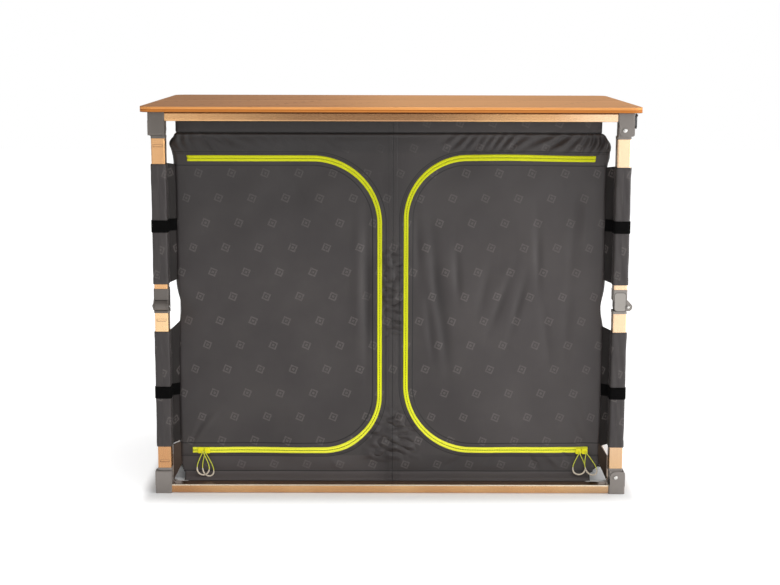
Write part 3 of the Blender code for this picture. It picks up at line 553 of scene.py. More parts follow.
def outwards(s, z):
    """How far the cloth stands out from its plan line, in metres.

    Waves, puckers and creases add up. At the sides and back it swells a little but is held at
    the shelves. It is drawn in beside the elbows, and its hem turns out."""
    t = np.abs(s)
    _, _, nx, ny = plan(s)
    on_side = rise(t, CORNER_S, CORNER_S + 0.03) * rise(-t, -REAR_S, -REAR_S + 0.03)
    rear = rise(t, REAR_S, REAR_S + 0.03)
    body = np.clip((0.735 - z) / 0.04, 0, 1) * np.clip((z - 0.03) / 0.05, 0.25, 1)
    waist = hump(t, CORNER_S + 0.012, 0.05) + hump(t, REAR_S - 0.012, 0.05)
    swell = 0.0028 * np.sin((z - 0.03) * 7.6) * np.cos((t - CORNER_S - 0.22) * 9.0)
    held = 1 - 0.8 * sum(hump(z, shelf, 0.02) for shelf in SHELF_Z) * (on_side + rear)
    low = 0.0015 * hump(z, 0.052, 0.014) * np.sin(s * 34.0 + 0.9 * np.sin(s * 9.0))
    groove = -0.0016 * hump(z, NECK_Z, 0.0014) + 0.0012 * hump(z, NECK_Z - 0.0045, 0.0028)
    return (
        (body * waves(s, z) + (on_side + rear) * body * swell) * held
        + puckers(s, z)
        + creases(s, z)
        - 0.0072 * waist * hump(z, WAIST_Z, 0.030)
        + low
        + groove
        + flare(z) * (0.0138 * ny**2 + 0.0105 * nx**2)
    )


def corner_pull(s, z):
    """The webs draw the corners in by 4.5 mm; above them the left shoulder stands out by 4 mm."""
    t = np.abs(s)
    at_corner = hump(t, CORNER_S, 0.034) + hump(t, REAR_S, 0.034)
    shoulder = np.where(s < 0, 0.0088 * hump(z, 0.721, 0.019), 0.0045 * rise(z, 0.675, 0.700))
    return at_corner * (shoulder - 0.0045)


def skin(s, z, out=0.0):
    """Point on the cloth at s and z, moved outwards by out, as an array of x, y, z.

    The front panel's middle sits 4 mm to the right. The right zip bows up a little at the top,
    and the zips' feet hang a little low."""
    s, z, out = np.broadcast_arrays(s, z, out)
    x, y, nx, ny = plan(s)
    puff = np.sin(np.clip((NECK_Z - z) / np.where(s < 0, 0.020, 0.030), 0, 1) * math.pi / 2)
    stand = outwards(s, z) + out
    neck = np.where(s < 0, NECK_IN_LEFT, NECK_IN_RIGHT) * (1 - puff)
    t = np.abs(s)
    ends = rise(t, CORNER_S - 0.07, CORNER_S - 0.006) * rise(-t, -REAR_S - 0.07, -REAR_S + 0.006)
    x = x - np.sign(s) * ends * neck + nx * stand + np.sign(s) * corner_pull(s, z) * puff
    y = y - ny * ny * np.sign(ny) * NECK_IN_Y * (1 - puff) + ny * stand
    x = x + 0.0042 * hump(s, 0.0, 0.2)
    bow = 0.0030 * hump(s, 0.224, 0.10) * hump(z, 0.700, 0.03)
    bow = bow - np.where(s > 0, 0.0004, 0.0022) * hump(z, 0.083, 0.016)
    return np.stack([x, y, z + bow * (t < CORNER_S) * rise(z, 0.05, 0.07)], -1)


stands = outwards(np.linspace(-0.4, 0.4, 400)[:, None], np.linspace(0.05, 0.7, 300))
print("folds stand out by up to", round(float(stands.max() * 1000), 1), "mm")

# %% [markdown]
# Each door is a panel with a straight hinge edge on the outside and two large round corners
# towards the middle. Its zip runs round those three sides. The distance to that outline, worked
# out for any point, cuts the doorways out of the cabinet and the doors to the same line.

# %% The door outline
DOOR_HINGE, DOOR_IN, DOOR_LOW, DOOR_TOP = 0.4165, 0.027, 0.083, 0.693
ROUND = {"top left": 0.135, "low left": 0.116, "top right": 0.124, "low right": 0.138}


def from_outline(s, z):
    """Distance to the zip line, above zero outside the door: that of a box with round corners.

    Each door has its own two radii, which differ a little, as sewn work does."""
    wide, tall = 2.0, (DOOR_TOP - DOOR_LOW) / 2
    up = z - (DOOR_LOW + tall)
    left = np.where(up > 0, ROUND["top left"], ROUND["low left"])
    turn = np.where(s < 0, left, np.where(up > 0, ROUND["top right"], ROUND["low right"]))
    dx = np.abs(np.abs(s) - (DOOR_IN + wide)) - (wide - turn)
    dz = np.abs(up) - (tall - turn)
    beyond = np.hypot(np.maximum(dx, 0), np.maximum(dz, 0))
    return beyond + np.minimum(np.maximum(dx, dz), 0) - turn


def in_door(s, z):
    """Above zero inside a door: inside the outline, and on the inner side of the hinge."""
    return np.minimum(-from_outline(s, z), DOOR_HINGE - np.abs(s))


NOTCH_LOW, NOTCH_HIGH = 0.0310, 0.0520


def above_notch(s, z):
    """Above zero where the cloth stays round the cut at the two low front corners.

    The cut goes straight up to NOTCH_LOW and slants from there to NOTCH_HIGH at the corner. On
    the front it is 10 mm wide at the left corner and 23 mm at the right, at the sides 90 mm."""
    t = np.abs(s)
    wide = np.where(t < CORNER_S, np.where(s < 0, 0.0100, 0.0230), 0.0900)
    away = np.abs(t - CORNER_S)
    slant = z - NOTCH_LOW - (NOTCH_HIGH - NOTCH_LOW) * (1 - away / wide)
    return np.where(t < CORNER_S + 0.2, np.maximum(away - wide, slant), 1.0)


def keep_side(s, z, faces, field, reach):
    """Leaves the faces whose middle has a field above zero, and draws their edge to the line.

    Each point near the line moves by field / slope, straight along the field's slope."""
    middle_s, middle_z = s[faces].mean(1), z[faces].mean(1)
    faces = faces[field(middle_s, middle_z) > 0]
    edges = np.sort(np.stack([faces, np.roll(faces, -1, 1)], -1).reshape(-1, 2), 1)
    edges, uses = np.unique(edges, axis=0, return_counts=True)
    rim = np.unique(edges[uses == 1])
    for _ in range(3):
        f, h = field(s[rim], z[rim]), 1e-5
        fs = (field(s[rim] + h, z[rim]) - field(s[rim] - h, z[rim])) / (2 * h)
        fz = (field(s[rim], z[rim] + h) - field(s[rim], z[rim] - h)) / (2 * h)
        step = np.where(np.abs(f) < reach, f, 0) / np.maximum(fs**2 + fz**2, 0.5)
        s[rim], z[rim] = s[rim] - step * fs, z[rim] - step * fz
    return s, z, faces


print("a door's middle is", round(float(-from_outline(0.22, 0.39)), 3), "m inside its outline")

# %% [markdown]
# The cabinet's wall is the whole surface without the doorways and the two low corner cuts. Its
# columns are 4 mm apart on the front, where the folds are small, and wider at the sides and back.

# %% Cabinet wall
CLOTH, NECK_LOW, NECK_HIGH = 0.0015, 0.737, 0.7485


def steps(low, high, size):
    """Evenly spaced values from low to high, no further apart than size."""
    return np.linspace(low, high, max(2, int(math.ceil((high - low) / size)) + 1))


def joined(*parts):
    """Runs of values that share their end values, as one run."""
    return np.concatenate([parts[0]] + [part[1:] for part in parts[1:]])


def panel(name, s, z, faces, notch):
    """Cloth at s and z, with the measures by which its finish draws seams and painted shade in the
    folds.
    """
    rim, dip = from_outline(s, z), depth_of_fold(s, z)
    uv = np.stack([s, z], -1)
    return cloth_wall(new_mesh(name, skin(s, z), faces, uv, rim=rim, dip=dip, notch=notch), CLOTH)


FRONT_END = STRAIGHT_FRONT + QUARTER
SIDE_END = FRONT_END + 2 * STRAIGHT_SIDE
half = joined(
    steps(0, DOOR_HINGE, 0.004),
    steps(DOOR_HINGE, STRAIGHT_FRONT, 0.0035),
    steps(STRAIGHT_FRONT, FRONT_END, 0.0022),
    steps(FRONT_END, FRONT_END + 0.024, 0.004),
    steps(FRONT_END + 0.024, SIDE_END, 0.009),
    steps(SIDE_END, SIDE_END + QUARTER, 0.0022),
    steps(SIDE_END + QUARTER, HALF_ROUND, 0.012),
)
wall_s = np.concatenate([-half[:0:-1], half[:-1]])
wall_z = joined(
    steps(CABINET_LOW, HEM_TOP, 0.0025),
    steps(HEM_TOP, DOOR_LOW, 0.0045),
    steps(DOOR_LOW, DOOR_TOP, 0.0045),
    steps(DOOR_TOP, NECK_LOW, 0.0026),
    steps(NECK_LOW, NECK_HIGH, 0.0009),
    steps(NECK_HIGH, CABINET_TOP, 0.0045),
)
s, z = (g.ravel() for g in np.meshgrid(wall_s, wall_z))
quads = grid_faces(len(wall_z), len(wall_s), False, True)
closing = np.ptp(s[quads], axis=1) >= 1.0
s, z, open_quads = keep_side(s, z, quads[~closing], lambda s, z: -in_door(s, z), 0.0035)
s, z, open_quads = keep_side(s, z, open_quads, above_notch, 0.003)
faces = np.concatenate([open_quads, quads[closing]])
cabinet = panel("cabinet_cloth", s, z, faces, above_notch(s, z))
print("cabinet cloth has", len(cabinet.data.polygons), "faces")

# %% [markdown]
# The doors are the panels that were cut out, made on a finer grid of their own.

# %% Doors
SIDES = ((-1, "left"), (1, "right"))
doors = {}
for side, label in SIDES:
    door_s, door_z = steps(DOOR_IN, DOOR_HINGE, 0.004), steps(DOOR_LOW, DOOR_TOP, 0.0045)
    s, z = (g.ravel() for g in np.meshgrid(door_s if side > 0 else -door_s[::-1], door_z))
    s, z, faces = keep_side(s, z, grid_faces(len(door_z), len(door_s)), in_door, 0.0035)
    doors[label] = panel("door_cloth_" + label, s, z, faces, np.ones(len(s)))
    print("door", label, "has", len(faces), "faces")

# %% [markdown]
# A zip is two bands of lime tape that meet in a narrow groove. Each band is a crowned profile
# carried along the outline: outwards for the cabinet's half, inwards for the door's half. It
# shows a little narrower where it runs upright, because the cloth rolls over it there.

# %% Zip line
def zip_line(side, gap, pitch=0.0032):
    """Points of the outline moved by gap, from the hinge along the top, down and back.

    Returns s, z and the direction away from the door at each point."""
    label = "right" if side > 0 else "left"
    radius, turn = ROUND["top " + label] + gap, ROUND["low " + label] + gap
    near, low, high = DOOR_IN - gap, DOOR_LOW - gap, DOOR_TOP + gap
    top = steps(0, DOOR_HINGE - near - radius, pitch)
    arc = steps(0, math.pi / 2, pitch / radius)
    down = steps(0, high - low - radius - turn, pitch)
    foot = steps(0, DOOR_HINGE - near - turn, pitch)
    s = joined(
        DOOR_HINGE - top,
        near + radius - radius * np.sin(arc),
        np.full(len(down), near),
        near + turn - turn * np.cos(arc),
        near + turn + foot,
    )
    z = joined(
        np.full(len(top), high),
        high - radius + radius * np.cos(arc),
        high - radius - down,
        low + turn - turn * np.sin(arc),
        np.full(len(foot), low),
    )
    way = np.gradient(np.stack([s, z], -1), axis=0)
    way /= np.linalg.norm(way, axis=1, keepdims=True)
    return side * s, z, side * way[:, 1], -way[:, 0]


def band(name, side, profile):
    """Carries a closed profile of (distance from the line, height above the cloth) along it.

    Each end is closed by a point in its middle."""
    s, z, ms, mz = zip_line(side, 0.0)
    away, height = np.asarray(profile).T
    narrow = (0.78 + 0.22 * mz**2)[:, None]
    ring_s = s[:, None] + ms[:, None] * away * narrow
    ring_z = z[:, None] + mz[:, None] * away * narrow
    ring_s = np.where(np.abs(ring_s) > DOOR_HINGE, side * DOOR_HINGE, ring_s)
    points = skin(ring_s, ring_z, height[None])
    tips = np.broadcast_to(points.mean(1, keepdims=True), points.shape)
    points = np.concatenate([tips[:1], points, tips[-1:]])
    length = np.pad(run_length(np.stack([s, z], -1)), 1, "edge")
    return merged(grid_mesh(name, points, (length[:, None], away[None])))


TAPE = [
    (0.0004, -0.0004), (0.0004, 0.0003), (0.0009, 0.0010), (0.0020, 0.0013),
    (0.0038, 0.0013), (0.0052, 0.0009), (0.0061, 0.0002), (0.0061, -0.0004),
]
bands = {}
for side, label in SIDES:
    bands["outer", label] = band("zip_tape_outer_" + label, side, TAPE)
    bands["inner", label] = band("zip_tape_inner_" + label, side, [(-a, h) for a, h in TAPE])
print("zip line of", round(float(run_length(np.stack(zip_line(1, 0)[:2], -1))[-1]), 3), "m")

# %% [markdown]
# In the groove sits the coil: small bars across the line, in turn on the door and the cabinet.
# Rows of stitches follow both edges of the tape.

# %% Coil and stitches
BAR = np.array([(x, y, z) for z in (0, 1) for y in (-1, 1) for x in (-1, 1)], float)
BAR_FACES = [(0, 1, 3, 2), (4, 6, 7, 5), (0, 4, 5, 1), (1, 5, 7, 3), (3, 7, 6, 2), (2, 6, 4, 0)]


def along_zip(side, gap, pitch):
    """Places and directions at even steps along the zip line moved by gap."""
    s, z, ms, mz = zip_line(side, gap)
    length = run_length(np.stack([s, z], -1))
    at = np.arange(pitch, length[-1] - pitch, pitch)
    s, z, ms, mz = (np.interp(at, length, values) for values in (s, z, ms, mz))
    out = np.tile((0.0, -1.0, 0.0), (len(at), 1))
    across = np.stack([ms, np.zeros_like(ms), mz], -1)
    return skin(s, z), across, np.cross(out, across), out


def loose_row(name, side, gap, pitch, size, lift, pick):
    """A row of bars size = (half across, half along, height) that follows the zip line.

    The bars narrow to 0.7 at the top. pick keeps every second one, or all of them."""
    place, across, along, out = (v[pick] for v in along_zip(side, gap, pitch))
    shape = BAR.copy()
    shape[BAR[:, 2] > 0, :2] *= 0.7
    shape = shape * size + (0, 0, lift)
    return merged(strew(name, shape, BAR_FACES, place, across, along, out))


rows = {}
COIL, STITCH = (0.0011, 0.00055, 0.0006), (0.00022, 0.0011, 0.00025)
for side, label in SIDES:
    for key, gap, pitch, size, lift, pick in (
        ("coil_door_", -0.0004, 0.0026, COIL, 0.0002, slice(0, None, 2)),
        ("coil_side_", 0.0004, 0.0026, COIL, 0.0002, slice(1, None, 2)),
        ("stitch_door_", -0.0041, 0.0034, STITCH, 0.0011, slice(None)),
        ("stitch_side_", 0.0041, 0.0034, STITCH, 0.0011, slice(None)),
    ):
        rows[key + label] = loose_row(key + label, side, gap, pitch, size, lift, pick)
print(sum(len(row.data.polygons) for row in rows.values()), "faces in coils and stitches")

# %% [markdown]
# Each door has two sliders that meet at the low outer corner. A slider is a small enamelled
# block with a bridge over it, and a loop of cord with a soft grip hangs from the bridge. The
# pairs aren't parked at quite the same place left and right.

# %% Sliders
SLIDER_LOW, SLIDER_HIGH, BRIDGE_Z = 0.0745, 0.0871, 0.0785
SLIDER_X = {
    ("near", "left"): -0.3835,
    ("far", "left"): -0.3975,
    ("near", "right"): 0.3945,
    ("far", "right"): 0.4075,
}


def slider(name, x, depth, low, high):
    """A wedge: a pillow whose outline narrows to its foot and whose edges are rounded.

    A point lies at sign(cos) |cos| ** 0.4 and the like, which gives squares with soft corners."""
    u = np.linspace(0, 2 * math.pi, 28, endpoint=False)
    v = np.linspace(-math.pi / 2, math.pi / 2, 13)[:, None]

    def soft(value, power):
        return np.sign(value) * np.abs(value) ** power

    across = soft(np.cos(v), 0.45) * soft(np.cos(u), 0.4)
    tall = soft(np.cos(v), 0.45) * soft(np.sin(u), 0.4)
    deep = soft(np.sin(v), 0.6) + 0 * u
    half_x = 0.0064 * (1 - 0.10 * (tall * 0.5 + 0.5))
    middle, half_z = (low + high) / 2, (high - low) / 2
    points = np.stack([x + across * half_x, depth + deep * 0.0011, middle + tall * half_z], -1)
    return merged(grid_mesh(name, points))


def bridge(name, x, y, z, reach):
    """The small arch on a slider's face that the cord passes through."""
    a = np.linspace(-0.2, math.pi + 0.2, 15)
    path = np.stack([np.full(15, x), y - reach * np.sin(a), z + 0.0026 * np.cos(a)], -1)
    return tube(name, path, 0.0005, 8, aside=(1.0, 0.0, 0.0))


metal = {}
for (kind, label), x in SLIDER_X.items():
    own = f"{kind}_{label}"
    block = slider("zip_slider_" + own, x, -HALF_D - 0.0023, SLIDER_LOW, SLIDER_HIGH)
    reach = 0.0022 if kind == "near" else 0.0034
    arch = bridge("slider_bridge_" + own, x, -HALF_D - 0.0030, BRIDGE_Z, reach)
    metal[kind, label], metal["bridge_" + kind, label] = block, arch
print(len(metal), "slider pieces")

# %% [markdown]
# A cord loop hangs by its own weight: narrow at the slider, wide near the foot, like a drop.
# No two hang alike, so each has its own width and leans its own way.

# %% Pull loops
CORD_R, GRIP_R = 0.0009, 0.0017


def loop_path(x, y, top, lean, width, length, count=57):
    """The drop: down by (1 - cos t) / 2, aside by sin t (sin t/2) ** 1.6, forwards by 4 mm."""
    t = np.linspace(0.012, 0.988, count)
    drop = (1 - np.cos(2 * math.pi * t)) / 2
    wide = np.sin(2 * math.pi * t) * (np.sin(math.pi * t) + 0.02) ** 1.6 / 0.68
    return np.stack([x + lean * drop + wide * width / 2, y - 0.004 * drop, top - length * drop], -1)


loops = {}
for kind, label, x, y, top, lean, width, length in (
    ("near", "left", -0.3880, -0.2303, 0.0785, 0.0085, 0.0215, 0.0515),
    ("far", "left", -0.3925, -0.2325, 0.0800, 0.0005, 0.0240, 0.0500),
    ("near", "right", 0.3965, -0.2303, 0.0785, -0.0008, 0.0245, 0.0468),
    ("far", "right", 0.4100, -0.2325, 0.0800, 0.0150, 0.0220, 0.0485),
):
    path = loop_path(x, y, top, lean, width, length)
    cord = tube(f"pull_cord_{kind}_{label}", path, CORD_R, 10)
    grip_path = path[19:40]
    swell = 1 - 0.28 * np.abs(np.linspace(-1, 1, len(grip_path))) ** 6
    grip = tube(f"pull_grip_{kind}_{label}", grip_path, GRIP_R * swell, 12)
    loops[kind, label] = (cord, grip, path)
print("a loop takes", round(float(run_length(path)[-1]), 3), "m of cord")

# %% [markdown]
# Sleeves of the same cloth are sewn round the legs, above and below each elbow. A sleeve is a
# closed shell: its profile goes up the outside, over the hem and down the inside, and is carried
# round a square with rounded corners. Webbing straps lie round each sleeve.

# %% Sleeves and straps
TUBE_HALF, TUBE_ROUND = 0.014, 0.003
LEG_X, LEG_Y = 0.4681, 0.2506
SLEEVE_Z = {"upper": (0.4390, 0.6790), "lower": (0.0985, 0.3410)}
STRAP_Z = {"upper": 0.5577, "lower": 0.2133}
SLEEVE_ROUND = 0.116
CORNERS = ("fl", "fr", "rr", "rl")


def leg_signs(corner):
    """The signs of a leg's x and y."""
    return 1 if corner[1] == "r" else -1, -1 if corner[0] == "f" else 1


def span(part, corner):
    """Lowest and highest point of a sleeve. The front left one has slipped up by 5 mm."""
    low, high = SLEEVE_Z[part]
    return low, high + (0.005 if (part, corner) == ("upper", "fl") else 0.0)


def square_ring(t, stand):
    """x and y of a point on a rounded square, t once round from the front's middle.

    stand is the distance from the tube's face, and it is added to the corner's radius too."""
    flat = TUBE_HALF - TUBE_ROUND
    turn = TUBE_ROUND + 0.0012
    quarter = turn * math.pi / 2
    side_length = 2 * flat + quarter
    at = (t * 4 * side_length + flat + 1e-12) % (4 * side_length)
    which = np.floor(at / side_length)
    within = at - which * side_length
    run = np.clip(within, 0, 2 * flat) - flat
    bend = np.clip(within - 2 * flat, 0, quarter) / turn
    angle = -math.pi / 2 + which * math.pi / 2 + bend
    face = -math.pi / 2 + which * math.pi / 2
    nx, ny = np.cos(angle), np.sin(angle)
    fx, fy = np.cos(face), np.sin(face)
    reach = TUBE_ROUND + stand
    x = fx * flat - fy * run + nx * reach
    y = fy * flat + fx * run + ny * reach
    return x, y


def ring_shell(name, centre, profile, wobble=0.0, phase=0.0, columns=72):
    """Carries a closed profile of (stand, z) round the leg, with slack in the cloth as waves."""
    t = np.linspace(0, 1, columns, endpoint=False)
    stand, z = np.asarray(profile).T
    outer = np.clip((stand - 0.0008) / 0.0008, 0, 1)
    slack = wobble * outer[:, None] * (
        np.sin(z[:, None] * 71.0 + 9.0 * np.sin(2 * math.pi * t) + phase)
        + 0.6 * np.sin(z[:, None] * 140.0 + 2 * phase + 2 * math.pi * 3 * t)
    )
    x, y = square_ring(t[None], stand[:, None] + slack)
    points = np.stack([x + centre[0], y + centre[1], z[:, None] + 0 * x], -1)
    return grid_mesh(name, points, (t[None] * SLEEVE_ROUND, z[:, None]), (True, True))


def sleeve_profile(low, high):
    """Inside up to the hem, round it, down the outside with hems 12 mm deep, and round again."""
    z = steps(low + 0.0015, high - 0.0015, 0.005)
    hem = np.clip(np.minimum(z - low, high - z) / 0.012, 0, 1)
    out = 0.0021 - 0.0005 * (hem >= 1)
    inside = [(0.0004, low + 0.0015), (0.0004, (low + high) / 2), (0.0004, high - 0.0015)]
    rim_top = [(0.0009, high), (0.0016, high - 0.0002)]
    rim_low = [(0.0016, low + 0.0002), (0.0009, low)]
    outside = list(zip(out[::-1], z[::-1]))
    return inside + rim_top + outside + rim_low


def strap_profile(z):
    """A webbing band 25 mm wide and 1 mm thick, with soft edges, over the sleeve."""
    h, soft = 0.0125, 0.0006
    face = [(0.0031, z + up) for up in (h - soft, 0.006, 0.0, -0.006, soft - h)]
    return [(0.0016, z - h), (0.0016, z + h), (0.0026, z + h), *face, (0.0026, z - h)]


sleeves, straps = {}, {}
for turn, corner in enumerate(CORNERS):
    sx, sy = leg_signs(corner)
    centre = (sx * LEG_X, sy * LEG_Y)
    for part in ("upper", "lower"):
        key, (low, high) = f"{part}_{corner}", span(part, corner)
        shell = sleeve_profile(low, high)
        sleeve = ring_shell("sleeve_" + key, centre, shell, 0.00022, turn * 1.7 + low)
        sleeves[key] = merged(sleeve)
        straps[key] = merged(ring_shell("strap_" + key, centre, strap_profile(STRAP_Z[part])))
print(len(sleeves), "sleeves with", len(straps), "straps")

# %% [markdown]
# Between the cabinet's corners and the sleeves run narrow webs of cloth, and a black tail of each
# strap crosses its web. Below them a gusset of browner inner cloth runs down to the foot. All
# of these are straight sheets between two edges, with a slight hollow.

# %% Webs, strap tails, gussets and shelf ledges
WEB_END, WEB_WIDTH = 0.0147, 0.020


def corner_sheet(name, sx, sy, inner, outer, lift=0.0):
    """Rows of points from the cabinet's corner, heights inner, to the leg, heights outer.

    The middle of the sheet lies hollow by 0.9 mm, and lift moves the sheet to the outside."""
    share = np.linspace(0, 1, 7)[None]
    s_corner = sx * (CORNER_S if sy < 0 else REAR_S)
    start = skin(s_corner, inner, -0.0008)[:, None]
    x, y = sx * (LEG_X - WEB_END), sy * (LEG_Y - WEB_END)
    end = np.stack([np.full(len(outer), x), np.full(len(outer), y), outer], -1)[:, None]
    points = start * (1 - share[..., None]) + end * share[..., None]
    hollow = 0.0009 * np.sin(math.pi * share) * np.sin(inner[:, None] * 60.0 + sx)
    way = np.array([-sx * 0.64, sy * 0.77, 0.0])
    points = points + (lift + hollow)[..., None] * way
    sheet = grid_mesh(name, points, (share * WEB_WIDTH, inner[:, None]), (False, False))
    return cloth_wall(sheet, CLOTH, 0.0)


webs, tails, gussets = [], {}, []
for corner in ("fl", "rl", "fr", "rr"):
    sx, sy = leg_signs(corner)
    for part in ("upper", "lower"):
        low, high = span(part, corner)
        lower = (0.004, 0.016) if sx < 0 else (-0.010, 0.006)
        rises = {"upper": (0.005, -0.003), "lower": lower}[part]
        outer = steps(low, high, 0.006)
        inner = np.interp(outer, (low, high), (low + rises[0], high + rises[1]))
        webs.append(corner_sheet(f"web_{part}_{corner}", sx, sy, inner, outer))
        key, strap = f"{part}_{corner}", STRAP_Z[part] + steps(-0.0122, 0.0122, 0.004)
        tails[key] = corner_sheet("strap_tail_" + key, sx, sy, strap, strap, 0.0016)
    inner = np.linspace(0.053, 0.099, 9)
    outer = np.linspace(0.0215, 0.0960 if sx < 0 else 0.0740, 9)
    gussets.append(corner_sheet("gusset_" + corner, sx, sy, inner, outer))
print(len(webs), "webs,", len(tails), "strap tails and", len(gussets), "gussets")

ledges = []
LEDGE_Z, LEDGE_START = {"lower": 0.2602, "upper": 0.5032}, FRONT_END + 0.008
for name, high in LEDGE_Z.items():
    t = steps(LEDGE_START, 2 * HALF_ROUND - LEDGE_START, 0.011)
    s = np.where(t > HALF_ROUND, t - 2 * HALF_ROUND, t)[:, None]
    depth = np.linspace(0.0012, 0.0192, 5)[None]
    points = skin(s, high, -depth)
    points[..., 2] += 0.0004 * np.sin(t * 37.0)[:, None] * (depth / 0.0192) - 0.0004
    ledge = grid_mesh("ledge_" + name, points, (t[:, None], depth), (False, False))
    ledges.append(cloth_wall(ledge, CLOTH))
print(len(ledges), "ledges inside the cabinet")

# %% [markdown]
# Bright rivets hold the legs in the brackets and pin the elbows. A rivet head is a low dome,
# turned from a quarter of a circle, and set over the plain head that the frame brings.


# %% Rivet domes
def dome(name, centre, outward, radius, height, around=28):
    """Rings of radius cos(a) ** 0.4 and height sin(a), from the rim at 0 to the pole at pi / 2."""
    a = np.linspace(0, math.pi / 2, 8)
    r = np.concatenate([[0.0, radius], radius * np.cos(a) ** 0.4])
    h = np.concatenate([[-0.0004, -0.0004], height * np.sin(a)])
    r[-1] = 0.0
    b = np.linspace(0, 2 * math.pi, around, endpoint=False)
    ring = np.stack([h[:, None] + 0 * b, r[:, None] * np.cos(b), r[:, None] * np.sin(b)], -1)
    turn = np.array(Vector((1, 0, 0)).rotation_difference(Vector(outward)).to_matrix())
    points = ring @ turn.T + np.asarray(centre)
    return merged(grid_mesh(name, points), 1e-5)


def at_corner(corner, x, y):
    """A place told at the front left corner, inwards x and y, turned to another corner."""
    turn = CORNERS.index(corner) * math.pi / 2
    c, s = round(math.cos(turn)), round(math.sin(turn))
    sx, sy = leg_signs(corner)
    return (sx * LEG_X + c * x - s * y, sy * LEG_Y + s * x + c * y), (-c, -s)


AXIS_IN, PIVOTS = 0.0194, {"low": 0.0353, "high": 0.7535}
ELBOW_OUT, ELBOW_FACE, ELBOW_Z = 0.0165, 0.0168, 0.3944
rivets, elbow_rivets = {}, {}
for corner in CORNERS:
    (x, y), (ox, oy) = at_corner(corner, -AXIS_IN, 0.0)
    for level, z in PIVOTS.items():
        name = f"rivet_{level}_{corner}"
        rivets[level, corner] = dome(name, (x, y, z), (ox, oy, 0), 0.0046, 0.0017)
for corner in CORNERS:
    for end in (-1, 1):
        (x, y), (ox, oy) = at_corner(corner, end * ELBOW_FACE, -ELBOW_OUT)
        name, outward = f"elbow_rivet_{corner}_{'ab'[end > 0]}", (-end * ox, -end * oy, 0)
        elbow_rivets[name] = dome(name, (x, y, ELBOW_Z), outward, 0.0029, 0.0012)
print(len(rivets), "rivets at the brackets and", len(elbow_rivets), "at the elbows")

# %% [markdown]
# The cloth is a plain weave in warm charcoal with a thin coating. A small generic mark, a ring
# of four sides with a dot in it, is printed on it a little lighter, in bricks. The sewn
# details are lines at set places: the middle seam, the hem, and two rows beside each zip.

# %% Cloth
CHARCOAL, CHARCOAL_DEEP = (57, 52, 51), (49, 44, 44)
UMBER, UMBER_DEEP = (72, 60, 52), (60, 49, 42)
PRINT, SHADOW, SHINE = (90, 84, 82), (36, 33, 33), (92, 84, 83)
MARK_WIDE, MARK_TALL = 0.068, 0.051


